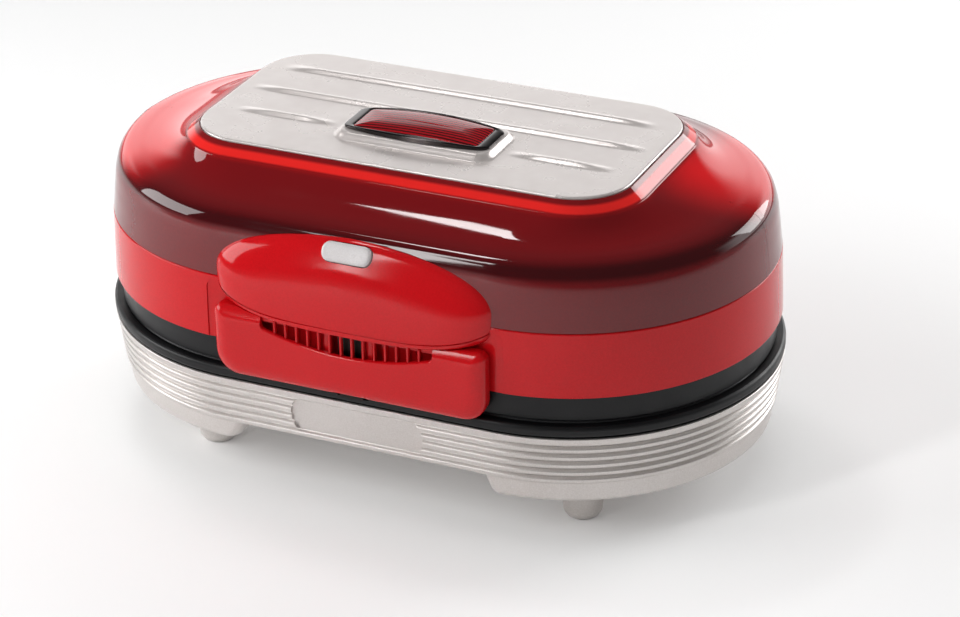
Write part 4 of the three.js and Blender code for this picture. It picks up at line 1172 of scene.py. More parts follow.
@dataclass
class CookingPlates:
    """Two non-stick castings, each with a pair of round wells that face each other."""

    lower: Casting = Casting(radius=96.2, flange=62.9, mouth=65.9, floor=52.0, cup=49.0)
    upper: Casting = Casting(radius=94.9, flange=66.5, mouth=66.5, floor=75.5, cup=78.5)
    well_x: float = 70.0
    well: float = 58.0
    draft: float = 3.0
    wall: float = 3.0
    thickness: float = 3.0
    chamfer: float = 0.5
    cup_fillet: float = 3.0
    floor_fillet: float = 4.0
    lip: float = 1.1
    flare: float = 2.5
    flare_depth: float = 0.25

    def form(self, plate: Casting) -> Form:
        """One plate with its two wells.

        Args:
            plate: where it lies.

        Returns:
            A closed form.
        """
        top = plate.flange + self.thickness
        middle = plate.flange + self.thickness / 2
        outward = math.copysign(1, plate.mouth - plate.floor)
        flared = self.well + self.flare
        beyond = plate.mouth + OVERRUN * outward
        edge = [
            (plate.radius - self.chamfer, plate.flange), (plate.radius, plate.flange + self.chamfer),
            (plate.radius, top - self.chamfer), (plate.radius - self.chamfer, top),
        ]
        cup = turned(filleted([
            (TIP, plate.cup), (self.well - self.draft + self.wall, plate.cup, self.cup_fillet),
            (self.well + self.wall, middle), (TIP, middle),
        ]), TURNED_STEPS * 2)
        room = turned(filleted([
            (TIP, plate.floor), (self.well - self.draft, plate.floor, self.floor_fillet),
            (self.well, plate.mouth, self.lip), (flared, plate.mouth + self.flare_depth * outward),
            (flared, beyond), (TIP, beyond),
        ]), TURNED_STEPS * 2)
        cups, rooms = ([form.moved(side * self.well_x) for side in SIDES] for form in (cup, room))
        return worked(body_loft(edge), *joined_with(*cups), *cut_by(*rooms))

    def build(self) -> None:
        """Makes both plates and dresses what heats them."""
        finished("lower_grill_plate", self.form(self.lower), NON_STICK, Body.BASE, "lower_plate")
        finished("upper_grill_plate", self.form(self.upper), NON_STICK, Body.LID, "upper_plate")
        dressed(HEATER_SHEATH, "lower_element", "upper_element")
        dressed(ALUMINISED_SHEET, "lower_reflector", "upper_reflector", "thermal_fuse")
        dressed(STEATITE, "thermostat", "terminal_block")


@dataclass
class CableGland:
    """Stepped bush at the rear, where the mains lead goes in."""

    facets: int = 48
    # Radius, height over the ribs and, at a rounded corner, its radius.
    section: Corners = (
        (3.2, -6.5), (6.0, -6.5), (6.0, 0), (8.0, 0),
        (8.0, 1.1, 0.5), (6.2, 1.3), (6.2, 2.0, 0.3), (3.2, 2.0, 0.6),
    )

    def build(self, housing: Housing) -> None:
        """Makes the bush with its stepped collar.

        Args:
            housing: what it sits in.
        """
        widest = max(corner[0] for corner in self.section)
        outside = housing.envelope(housing.gland_height + widest) + SEAT_GAP
        bush = turned(filleted(self.section, closes=True), self.facets, closes=True).moved(z=outside)
        form = bush.tilted(-90, "X").moved(z=housing.gland_height)
        finished("cable_gland", form, BLACK_ABS, Body.BASE, "cord_gland")


# Lid


@dataclass
class LidShell:
    """Black inner wall of the lid, seen between the collar and the red band."""

    wall: float = 97.5
    inner: float = 95.2
    upper: float = 96.9
    low: float = 66.6
    step: float = 79.3
    top: float = 111.0
    low_fillet: float = 0.8
    step_fillet: float = 0.4
    ledge_inner: float = 88.0
    ledge_low: float = 69.9
    ledge_top: float = 72.0
    lug_height: float = 9.0
    screw_x: float = 50.0
    screw_height: float = 92.0
    screw_radius: float = 1.85
    screw_front: float = 106.0

    def screw_holes(self) -> list[Form]:
        """Holes for the two screws that hold the handle."""
        hole = rod(self.screw_radius, self.ledge_inner, self.screw_front).tilted(90, "X")
        return [hole.moved(side * self.screw_x, 0, self.screw_height) for side in SIDES]

    def build(self, hinge: Hinge) -> None:
        """Makes the wall with its hinge lugs.

        Args:
            hinge: whose lugs it carries.
        """
        ring = body_loft(filleted([
            (self.wall, self.low, self.low_fillet), (self.wall, self.step, self.step_fillet),
            (self.upper, self.step), (self.upper, self.top), (self.inner, self.top),
            (self.inner, self.ledge_top), (self.ledge_inner, self.ledge_top),
            (self.ledge_inner, self.ledge_low), (self.inner, self.ledge_low), (self.inner, self.low),
        ], closes=True), closes=True)
        lugs = hinge.lugs(self.wall - SEAT_GAP, self.lug_height)
        shell = worked(ring, *joined_with(*lugs), *cut_by(hinge.hole(), *self.screw_holes()))
        finished("lid_wall", shell, BLACK_ABS, Body.LID, "lid_inner_shell")


@dataclass
class RedBand:
    """Red band round the lid, with a shallow pocket in which the handle sits."""

    low: float = 79.6
    top: float = 111.9
    low_radius: float = 100.2
    top_radius: float = 99.3
    wall: float = 2.2
    edge: float = 0.8
    low_edge: float = 0.5
    pocket_half: float = 76.0
    pocket_top: float = 109.1
    pocket_corner: float = 4.0
    pocket_depth: float = 0.6

    def radius_at(self, height: float) -> float:
        """Outer radius at one height."""
        share = (height - self.low) / (self.top - self.low)
        return self.low_radius + (self.top_radius - self.low_radius) * share

    def pocket(self) -> Form:
        """What is pressed out of the front for the handle.

        Returns:
            The form to cut away.
        """
        half, corner = self.pocket_half, self.pocket_corner
        outline = [
            (-half, self.low - OVERRUN), (half, self.low - OVERRUN),
            *arc((half - corner, self.pocket_top - corner), corner, 0, 90),
            *arc((corner - half, self.pocket_top - corner), corner, 90, 180),
        ]
        back = []
        front = []
        for x, height in outline:
            past = max(abs(x) - STRAIGHT_HALF, 0)
            depth = math.sqrt(self.radius_at(height) ** 2 - past ** 2)
            back.append((x, self.pocket_depth - depth, height))
            front.append((x, -depth - OVERRUN, height))
        return loft([back, front])

    def build(self, shell: LidShell) -> None:
        """Makes the band.

        Args:
            shell: the wall that it lies on, with the screws' places.
        """
        inner = self.low_radius - self.wall
        ring = body_loft(filleted([
            (self.low_radius, self.low, self.low_edge), (self.top_radius, self.top, self.edge),
            (self.top_radius - self.wall + SEAT_GAP, self.top), (inner, self.low + self.low_edge),
            (inner, self.low),
        ], closes=True), closes=True)
        band = worked(ring, *cut_by(self.pocket(), *shell.screw_holes()))
        finished("red_band", band, RED_ABS, Body.LID, "lid_band")


@dataclass
class Dome:
    """Tinted dome: an upright wall, a tight shoulder, a hollow slope and a bevel round the top plate."""

    base_radius: float = 99.3
    low: float = 112.2
    height: float = 43.2
    inset: float = 36.1
    top_half_length: float = 117.1
    top_corner: float = 34.0
    corner_power: float = 1.645
    wall: float = 2.2
    seam: float = 0.5
    bevel_width: float = 6.0
    bevel_rise: float = 5.0
    bevel_root: Pair = (3.0, 1.1)
    bevel_gap: float = 0.2
    foot_fillet: float = 1.6
    crest_fillet: float = 0.7
    lip: float = 0.3
    lip_fillet: float = 0.1
    ledge: float = 6.9
    ledge_drop: float = 1.5
    window_half: float = 16.0
    window_depth: float = 9.025
    window_low: float = 4.0
    window_high: float = 28.8
    # Inset and rise of the slope, each as a share of the whole.
    shares: tuple[Pair, ...] = (
        (0.003, 0), (0.0137, 0.134), (0.0301, 0.343), (0.0546, 0.528), (0.0874, 0.632), (0.15, 0.704),
        (0.246, 0.736), (0.3825, 0.759), (0.574, 0.801), (0.765, 0.87), (0.97, 0.9815), (1, 1),
    )

    @property
    def top_half_width(self) -> float:
        """Half of the width where the bevel starts."""
        return self.base_radius - self.inset

    @property
    def bevel_top(self) -> float:
        """Height of the bevel's upper edge."""
        return self.low + self.height + self.bevel_rise

    def ring(self, inset: float, height: float) -> Ring:
        """Plan shape at one inset: from the body's round ends to the top's rounded rectangle.

        Args:
            inset: how far it lies inside the dome's foot.
            height: its height.

        Returns:
            The ring's points.
        """
        if inset <= 0:
            return body_ring(self.base_radius - inset, height)
        past = max(inset - self.inset, 0)
        share = min(inset / self.inset, 1)
        half_length = STRAIGHT_HALF + self.base_radius
        half_length += (self.top_half_length - half_length) * share - past
        corner = self.base_radius + (self.top_corner - self.base_radius) * share ** self.corner_power - past
        return rounded_ring(half_length, self.base_radius - inset, corner, height)

    def profile(self, inwards: float) -> list[Pair]:
        """Section of the wall and slope.

        Args:
            inwards: how far it is moved inwards, square to itself.

        Returns:
            Inset and height pairs.
        """
        knots = [(inset * self.inset, self.low + rise * self.height) for inset, rise in self.shares]
        curve = [Vector(pair) for pair in smooth_curve(knots)]
        moved = []
        for place, point in enumerate(curve):
            along = (curve[min(place + 1, len(curve) - 1)] - curve[max(place - 1, 0)]).normalized()
            level = 0 if place == 0 else -along.x * inwards
            moved.append((point.x + along.y * inwards, point.y + level))
        return moved

    def filled(self, grow: float, band: RedBand) -> Form:
        """Everything that the lid fills up to its shoulder.

        Args:
            grow: the clearance that is added.
            band: the band under the dome.

        Returns:
            A closed form.
        """
        lower = [
            (band.low_radius, band.low - OVERRUN), (band.low_radius, band.low),
            (band.top_radius, band.top - self.seam),
        ]
        rings = [body_ring(radius + grow, height) for radius, height in lower]
        rings += [self.ring(inset, height) for inset, height in self.profile(-grow)]
        return loft(rings)

    def build(self) -> None:
        """Makes the dome with its window behind the handle's cap."""
        foot = self.low + self.height
        top = self.bevel_top
        ledge_top = top - self.ledge_drop
        ledge_low = ledge_top - self.wall
        outer = self.inset + self.bevel_width
        inner = outer + self.lip + self.ledge
        bevel = filleted([
            (self.inset - self.bevel_root[0], foot - self.bevel_root[1]),
            (self.inset, foot, self.foot_fillet), (outer, top, self.crest_fillet),
            (outer + self.lip, top, self.lip_fillet), (outer + self.lip, ledge_top), (inner, ledge_top),
            (inner, ledge_low), (outer - self.lip, ledge_low),
        ])[1:]
        outside = [pair for pair in self.profile(0) if pair[0] < bevel[0][0] - self.bevel_gap]
        section = outside + bevel + self.profile(self.wall)[::-1]
        shell = loft([self.ring(inset, height) for inset, height in section], closes=True)
        window = block(
            (-self.window_half, -self.base_radius - OVERRUN, self.low + self.window_low),
            (self.window_half, self.window_depth - self.base_radius, self.low + self.window_high),
        )
        finished("tinted_dome", worked(shell, *cut_by(window)), TINTED_ACRYLIC, Body.LID, "lid_dome")
        dressed(BLACK_ABS, "lid_liner")


@dataclass
class TopPlate:
    """Satin metal plate in the dome's top, with pressed flutes and a raised boss for the badge."""

    low: float = 159.2
    thickness: float = 2.2
    gap: float = 0.45
    edge: float = 0.9
    pitch: float = 0.6
    side_steps: int = 260
    end_steps: int = 130
    corner_steps: int = 10
    least_corner: float = 0.05
    flute_half_width: float = 3.8
    flute_height: float = 1.3
    flute_taper: float = 22.0
    # Place across the plate, start and end of each flute, as shares of half its width and length.
    flutes: tuple[tuple[float, float, float], ...] = (
        (0.593, -0.93, 0.9), (0.103, -0.95, 0.95), (-0.372, -0.9, -0.39), (-0.372, 0.39, 0.9),
    )
    badge_y: float = -18.0
    boss_half_length: float = 41.5
    boss_half_width: float = 19.4
    boss_corner: float = 9.0
    boss_height: float = 3.0
    boss_slope: float = 3.8

    @property
    def top(self) -> float:
        """Height of its face."""
        return self.low + self.thickness

    def size(self, dome: Dome, inset: float) -> tuple[float, float, float]:
        """Half length, half width and corner of its outline."""
        less = dome.bevel_width + dome.lip + self.gap + inset
        return dome.top_half_length - less, dome.top_half_width - less, dome.top_corner - less

    def flute_rise(self, dome: Dome, x: float, y: float) -> float:
        """Height of the pressed flutes over the plate's face.

        Args:
            dome: the dome that it lies in.
            x: place along the plate.
            y: place across it.

        Returns:
            The height there.
        """
        half_length, half_width, _ = self.size(dome, 0)
        rise = 0.0
        for across, start, end in self.flutes:
            off = abs(y - half_width * across) / self.flute_half_width
            run = min(x - half_length * start, half_length * end - x) / self.flute_taper
            if off < 1 and run > 0:
                swell = math.sin(min(run, 1) * math.pi / 2) ** 2
                rise = max(rise, self.flute_height * swell * math.cos(off * math.pi / 2) ** 2)
        return rise

    def boss_rise(self, x: float, y: float) -> float:
        """Height of the badge's raised seat over the plate's face, with an apron that sweeps up to it.

        Args:
            x: place along the plate.
            y: place across it.

        Returns:
            The height there.
        """
        beyond_x = abs(x) - (self.boss_half_length - self.boss_corner)
        beyond_y = abs(y - self.badge_y) - (self.boss_half_width - self.boss_corner)
        outside = math.hypot(max(beyond_x, 0), max(beyond_y, 0)) + min(max(beyond_x, beyond_y), 0)
        share = min(max((self.boss_corner - outside) / self.boss_slope, 0), 1)
        return self.boss_height * (0.5 - 0.5 * math.cos(math.pi * share))

    def ring(self, dome: Dome, inset: float, height: float) -> Ring:
        """Outline of the plate, with close points along its sides.

        Args:
            dome: the dome that it lies in.
            inset: how far it lies inside the plate's edge.
            height: its height.

        Returns:
            The ring's points.
        """
        half_length, half_width, corner = self.size(dome, inset)
        corner = max(corner, min(self.least_corner, half_width))
        ring: Ring = []
        for quarter, (side_x, side_y) in enumerate(QUARTERS):
            middle = (side_x * (half_length - corner), side_y * (half_width - corner))
            pairs = arc(middle, corner, 90 * quarter, 90 * quarter + 90, self.corner_steps)
            here = Vector(pairs[-1])
            far, steps = (
                (Vector((here.x, -here.y)), self.end_steps) if quarter % 2
                else (Vector((-here.x, here.y)), self.side_steps)
            )
            pairs += [tuple(here.lerp(far, step / steps)) for step in range(1, steps)]
            ring += [(x, y, height) for x, y in pairs]
        return ring

    def build(self, dome: Dome) -> None:
        """Makes the plate.

        Args:
            dome: the dome that it lies in.
        """
        rings = [self.ring(dome, 0, self.low)]
        for turn in quarter_turn(FILLET_STEPS + 1):
            inset = self.edge * (1 - math.cos(turn))
            rings.append(self.ring(dome, inset, self.top - self.edge * (1 - math.sin(turn))))
        inset = self.edge + self.pitch
        middle = self.size(dome, 0)[1] - WELD_MM / 10
        while inset < middle + self.pitch:
            rings.append([
                (x, y, height + max(self.flute_rise(dome, x, y), self.boss_rise(x, y)))
                for x, y, height in self.ring(dome, min(inset, middle), self.top)
            ])
            inset += self.pitch
        plate = loft(rings)
        # The innermost ring closes on the plate's middle line, so it needs no cap.
        plate.faces.pop()
        finished("satin_top_plate", plate, SILVER_LACQUER, Body.LID, "top_plate")


@dataclass
class Badge:
    """Bare arched badge: a dark chrome rim round a domed red lens."""

    y: float
    low: float = 164.7
    half_length: float = 37.5
    half_width: float = 15.6
    corner: float = 4.5
    least_corner: float = 0.6
    pinch: float = 0.27
    side_steps: int = 32
    corner_steps: int = 8
    height: float = 2.6
    rim: float = 1.7
    rim_fillet: float = 0.8
    end_extra: float = 3.4
    floor: float = 1.2
    lens_height: float = 2.0
    lens_edge: float = 0.4
    lens_crest: float = 1.0
    lens_steps: int = 14
    droop: float = 1.7

    def arched(self, point: Point) -> Point:
        """Bends the badge down towards both ends, but never below its seat.

        Args:
            point: a point of the straight badge.

        Returns:
            The point of the arched one.
        """
        share = (point[0] / self.half_length) ** 2
        rise = point[2] - self.low
        return point[0], point[1], self.low + max(rise - self.droop * share * min(rise / self.height, 1), 0)

    def ring(self, inset: float, rise: float, end_inset: float = 0) -> Ring:
        """Its barrel outline: bowed long sides, tight corners and straight ends.

        Args:
            inset: how far it lies inside the outer edge.
            rise: height over the badge's seat.
            end_inset: how much further it lies inside both ends.

        Returns:
            The ring's points.
        """
        corner = max(self.corner - inset, self.least_corner)
        run = self.half_length - inset - end_inset - corner
        wide = self.half_width - inset
        steps = self.corner_steps
        side = [run - 2 * run * step / self.side_steps for step in range(self.side_steps + 1)]
        pairs = arc((run, wide - corner), corner, 0, 90, steps)[:-1] + [(x, wide) for x in side]
        pairs += arc((-run, wide - corner), corner, 90, 180, steps)[1:]
        pairs += arc((-run, corner - wide), corner, 180, 270, steps)[:-1] + [(-x, -wide) for x in side]
        pairs += arc((run, corner - wide), corner, 270, 360, steps)[1:]
        return [
            (x, self.y + y * (1 - self.pinch * (x / self.half_length) ** 2), self.low + rise)
            for x, y in pairs
        ]

    def build(self) -> None:
        """Makes the rim and the lens."""
        section = filleted([
            (0, 0), (0, self.height, self.rim_fillet), (self.rim, self.height, self.rim_fillet),
            (self.rim, self.floor),
        ])
        rings = [self.ring(inset, rise, self.end_extra * inset / self.rim) for inset, rise in section]
        finished("badge_rim", loft(rings).warped(self.arched), DARK_CHROME, Body.LID, "badge_frame")
        start = self.rim + SEAT_GAP
        seat = self.floor + SEAT_GAP
        lens = [self.ring(start, seat, self.end_extra)]
        for turn in quarter_turn(self.lens_steps):
            inset = start + (self.half_width - start - self.lens_crest) * (1 - math.cos(turn))
            rise = seat + self.lens_edge + (self.lens_height - self.lens_edge) * math.sin(turn)
            lens.append(self.ring(inset, rise, self.end_extra))
        finished("badge_lens", loft(lens).warped(self.arched), LENS_RESIN, Body.LID, "badge_plate")


# Handle and latch


@dataclass
class Clam:
    """Clam-shaped cap of the handle: half a shell with a rolled lip along its lower edge."""

    half: float = 71.0
    low: float = 98.2
    height: float = 44.0
    back: float = 96.0
    depth: float = 13.5
    wall: float = 2.0
    reach: float = 0.995
    side: float = 19.0
    width_power: float = 0.235
    # Shares of the size that shape its curve: shoulder's height, crown's place and height, lip's likewise.
    pulls: tuple[float, ...] = (0.834, 0.465, 0.973, 0.965, 0.09)
    curve_points: int = 25
    levels: int = 26
    last_turn: float = math.radians(88)
    lip_rise: float = 2.1
    lip_groove: float = 0.6
    lip_depth: float = 0.5
    lip_reach: float = 1.0
    slot_half: float = 8.0
    slot_front: float = 105.1
    slot_rise: float = 4.0

    def solid(self, grow: float) -> Form:
        """The clam without its hollow.

        Args:
            grow: how much larger it is on every side than the real one; smaller where negative.

        Returns:
            A closed form.
        """
        half, top, side = self.half + grow, self.height + grow, self.side
        shoulder, crown_x, crown, lip_x, lip = self.pulls
        rise = [(half, side), (half, top * shoulder), (half * crown_x, top * crown), (0, top)]
        fall = [(0, -grow), (half * lip_x, -grow), (half, side * lip - grow), (half, side)]
        outline = []
        for pairs, flip in ((rise, 1), (rise[::-1], -1), (fall[::-1], -1), (fall, 1)):
            pulls = [Vector((x * flip, height)) for x, height in pairs]
            outline += interpolate_bezier(*pulls, self.curve_points)[:-1]
        rings = []
        for level in range(self.levels + 1):
            turn = level / self.levels * self.last_turn
            tall = math.cos(turn)
            wide = tall ** (2 * self.width_power)
            y = -self.back - (self.depth + grow) * math.sin(turn) * self.reach
            rings.append([
                (point.x * wide, y, self.low - grow + (point.y + grow) * tall) for point in outline
            ])
        return loft(rings)

    def lip(self) -> Form:
        """Thin groove that sets the rolled lip off.

        Returns:
            The form to cut away.
        """
        around = self.solid(self.lip_reach).moved(z=self.lip_rise + self.lip_reach)
        return worked(around, *cut_by(around.moved(z=self.lip_groove), self.solid(-self.lip_depth)))

    def build(self, hole: Form, dome: Dome, band: RedBand) -> None:
        """Makes the clam with its lip and the hole for the button.

        Args:
            hole: what the button needs.
            dome: the dome behind it.
            band: the band under that dome.
        """
        slot = block(
            (-self.slot_half, -self.slot_front, self.low - OVERRUN),
            (self.slot_half, -self.back, self.low + self.slot_rise),
        )
        cap = worked(
            self.solid(0),
            *cut_by(self.solid(-self.wall), dome.filled(SHELL_GAP, band), hole, slot, self.lip()),
        )
        finished("handle_clam", cap, RED_ABS, Body.LID, "handle_cap")


@dataclass
class PushButton:
    """Softly crowned release button, square to the clam, with two tabs that hold it in."""

    clam: Clam
    height: float = 137.3
    tilt: float = 58.0
    half_length: float = 12.5
    half_width: float = 4.7
    corner: float = 4.2
    corner_steps: int = 16
    proud: float = 1.6
    depth: float = 3.4
    edge_low: float = 0.2
    edge_rise: float = 1.25
    edge_inset: float = 1.7
    edge_steps: int = 8
    # Inset from its side and drop from its highest point.
    crown: tuple[Pair, ...] = ((2.9, 0.06), (3.9, 0.0))
    tab_reach: float = 13.7
    tab_half: float = 3.0
    tab_height: float = 0.4

    def ring(self, grow: float, rise: float) -> Ring:
        """Outline of the button at one height over its seat."""
        half_length, half_width = self.half_length + grow, self.half_width + grow
        return rounded_ring(half_length, half_width, self.corner + grow, rise, steps=self.corner_steps)

    def on_clam(self, form: Form) -> Form:
        """Turns and moves a form from the button's own frame to its seat on the clam.

        Args:
            form: a form in the button's frame.

        Returns:
            The form on the clam.
        """
        tall = (self.height - self.clam.low) / self.clam.height
        front = self.clam.back + self.clam.depth * math.sqrt(1 - tall ** 2)
        return form.tilted(self.tilt, "X").moved(0, -front, self.height)

    def hole(self) -> Form:
        """What is cut out of the clam for it."""
        ends = (-self.depth - OVERRUN, self.proud + OVERRUN)
        return self.on_clam(loft([self.ring(PIN_GAP, rise) for rise in ends]))

    def build(self) -> None:
        """Makes the button."""
        levels = [(0.0, -self.depth)]
        for turn in quarter_turn(self.edge_steps):
            rise = self.edge_low + self.edge_rise * math.sin(turn)
            levels.append((-self.edge_inset * (1 - math.cos(turn)), rise))
        levels += [(-inset, self.proud - drop) for inset, drop in self.crown]
        crown = loft([self.ring(grow, rise) for grow, rise in levels])
        tabs = block(
            (-self.tab_reach, -self.tab_half, -self.depth),
            (self.tab_reach, self.tab_half, self.tab_height - self.depth),
        )
        button = self.on_clam(worked(crown, *joined_with(tabs)))
        finished("push_button", button, GREY_ABS, Body.BUTTON, "release_button")


@dataclass
class Latch:
    """Pivot of the latch lever, and the torsion spring that holds it shut."""

    y: float = 102.2
    height: float = 97.0
    lever_half: float = 6.0
    pin_radius: float = 0.9
    spring_room: float = 2.6
    coils: int = 4
    coil_steps: int = 24
    coil_radius: float = 1.5
    wire: float = 0.28

    def bore(self, half: float) -> Form:
        """Hole for the pivot pin, this far to both sides."""
        return rod(self.pin_radius + PIN_GAP, -half, half).tilted(90, "Y").moved(0, -self.y, self.height)

    def build(self) -> None:
        """Makes the spring."""
        steps = self.coils * self.coil_steps
        start = self.lever_half + SEAT_GAP + self.wire
        run = self.spring_room - 2 * self.wire
        path = []
        for step in range(steps + 1):
            angle = math.tau * step / self.coil_steps
            path.append(Vector((
                start + step / steps * run,
                self.coil_radius * math.cos(angle) - self.y,
                self.coil_radius * math.sin(angle) + self.height,
            )))
        finished("torsion_spring", tube(path, self.wire), BLACKED_STEEL, Body.LID, "latch_spring")


@dataclass
class HandleHousing:
    """Red housing under the clam, with a crescent grille in its face and the latch behind it."""

    clam: Clam
    latch: Latch
    half: float = 69.5
    low: float = 65.0
    height: float = 35.8
    back: float = 100.6
    depth: float = 7.4
    low_corner: float = 12.0
    high_corner: float = 4.0
    least_corner: float = 1.0
    wall: float = 2.0
    edge: float = 8.0
    edge_start: float = 0.39
    edge_steps: int = 12
    # Share of the edge and share of the depth at which the inside lies.
    lining: tuple[Pair, ...] = ((0.75, 0.73), (0.17, 0.62), (0.0, 0.36), (0.0, 0.0))
    relief_rise: float = 0.85
    relief_depth: float = 1.6
    slot_half: float = 9.0
    grille_half: float = 44.0
    grille_low: float = 86.7
    grille_bow: float = 140.0
    grille_corner: float = 3.0
    grille_edge: float = 0.9
    grille_depth: float = 2.6
    grille_steps: int = 48
    corner_steps: int = 8
    fins: int = 14
    fin_pitch: float = 5.7
    fin_half: float = 0.6
    fin_corner: float = 0.59
    fin_steps: int = 6
    fin_depth: float = 2.6
    fin_inset: float = 1.0
    root: float = 2.5
    head_room: float = 0.6
    boss_half: float = 1.5
    boss_cover: float = 2.1
    bore_cover: float = 3.5
    post_radius: float = 3.6

    @property
    def front(self) -> float:
        """How far its face stands out to the front."""
        return self.back + self.depth

    def outline(self, inset: float, depth: float) -> Ring:
        """Front outline with tight upper and wide lower corners.

        Args:
            inset: how far it lies inside the largest one.
            depth: how far to the front it lies.

        Returns:
            The ring's points.
        """
        half = self.half - inset
        high = max(self.high_corner - inset / 2, self.least_corner)
        low = self.low_corner - inset / 2
        top = self.low + self.height - inset
        bottom = self.low + inset
        pairs = [
            *arc((half - high, top - high), high, 0, 90), *arc((high - half, top - high), high, 90, 180),
            *arc((low - half, bottom + low), low, 180, 270), *arc((half - low, bottom + low), low, 270, 360),
        ]
        return [(x, -depth, height) for x, height in pairs]

    def shell(self) -> Form:
        """The hollow housing with its softly rounded face.

        Returns:
            A closed form.
        """
        rings = [
            self.outline(self.wall + inset * self.edge, self.back + share * self.depth)
            for inset, share in self.lining
        ]
        rings.append(self.outline(0, self.back))
        for turn in quarter_turn(self.edge_steps):
            share = self.edge_start + (1 - self.edge_start) * math.sin(turn)
            rings.append(self.outline(self.edge * (1 - math.cos(turn)), self.back + share * self.depth))
        return loft(rings)

    def grille_floor(self, x: float) -> float:
        """Height of the grille's bowed lower edge."""
        return self.grille_low + self.grille_bow - math.sqrt(self.grille_bow ** 2 - x ** 2)

    def grille(self) -> Form:
        """The crescent opening, flared towards the front.

        Returns:
            The form to cut away.
        """
        half, corner, steps = self.grille_half, self.grille_corner, self.grille_steps
        run = half - corner
        lean = math.degrees(math.asin(run / self.grille_bow))
        middle = self.grille_floor(run) + corner
        above = self.clam.low + OVERRUN
        places = [run * (2 * step / steps - 1) for step in range(steps + 1)]
        outline = [
            *((x, self.grille_floor(x)) for x in places),
            *arc((run, middle), corner, lean - 90, 0, self.corner_steps)[1:],
            (half, above), (-half, above),
            *arc((-run, middle), corner, -180, -90 - lean, self.corner_steps)[:-1],
        ]
        levels = [
            (0.0, self.grille_depth),
            *((self.grille_edge * (1 - math.cos(turn)), self.grille_edge * (1 - math.sin(turn)))
              for turn in quarter_turn()),
            (self.grille_edge, -OVERRUN),
        ]
        return loft([
            [(x, depth - self.front, height) for x, height in offset_outline(outline, grow)]
            for grow, depth in levels
        ])

    def fin_row(self) -> list[Form]:
        """The upright fins of the grille, each with a rounded front.

        Returns:
            All fins.
        """
        half_depth = self.fin_depth / 2
        y = half_depth - self.front + self.fin_inset
        fins = []
        for fin in range(self.fins):
            x = (fin - (self.fins - 1) / 2) * self.fin_pitch
            ends = (self.grille_floor(x) - self.root, self.clam.low - self.head_room)
            fins.append(loft([
                rounded_ring(self.fin_half, half_depth, self.fin_corner, height, y, self.fin_steps)
                for height in ends
            ]).moved(x))
        return fins

    def bosses(self, boss: float) -> list[Form]:
        """The cheeks that hold the latch's pivot pin, and their feet on the housing's face.

        Args:
            boss: how far from the middle they stand.

        Returns:
            All of them.
        """
        reaches = (
            (self.front - self.wall / 2, self.grille_low - self.root, self.grille_low - self.wall / 2),
            (self.latch.y + self.boss_cover, self.grille_low - self.wall, self.clam.low - self.head_room),
        )
        half = self.boss_half
        return [
            block((side * boss - half, -reach, low), (side * boss + half, -self.back, high))
            for side in SIDES for reach, low, high in reaches
        ]

    def build(self, shell: LidShell) -> None:
        """Makes the housing and dresses the metal parts in it.

        Args:
            shell: the lid's wall, with the screws' places.
        """
        boss = self.latch.lever_half + SEAT_GAP + self.latch.spring_room + SEAT_GAP + self.boss_half
        post = rod(self.post_radius, self.back, self.front - self.wall / 2).tilted(90, "X")
        posts = [post.moved(side * shell.screw_x, 0, shell.screw_height) for side in SIDES]
        slot = block(
            (-self.slot_half, self.wall - self.front, self.low - OVERRUN),
            (self.slot_half, OVERRUN - self.back, self.low + self.wall + OVERRUN),
        )
        relief = block(
            (-self.half - OVERRUN, -self.back - self.relief_depth, self.low - OVERRUN),
            (self.half + OVERRUN, OVERRUN - self.back, self.low + self.relief_rise),
        )
        bore = self.latch.bore(boss + self.bore_cover)
        body = worked(
            self.shell(), *cut_by(self.grille()), *joined_with(*self.fin_row(), *self.bosses(boss), *posts),
            *cut_by(slot, relief, self.clam.solid(SHELL_GAP), bore, *shell.screw_holes()),
        )
        finished("handle_housing", body, RED_ABS, Body.LID, "handle_body")
        # The lever is blackened so that it disappears into the dark gaps of the grille: its near-black is
        # partly painted shade.
        dressed(BLACKED_STEEL, "handle_screw_left", "handle_screw_right", "latch_pivot_pin", "latch_lever")


# Studio


@dataclass(frozen=True)
class Softbox:
    """One rectangular lamp that hangs in a direction from the grill and faces it; its width lies level."""

    name: str
    direction: Point
    size: Pair
    radiance: float
    distance: float = 1.3
    mirrored: bool = True


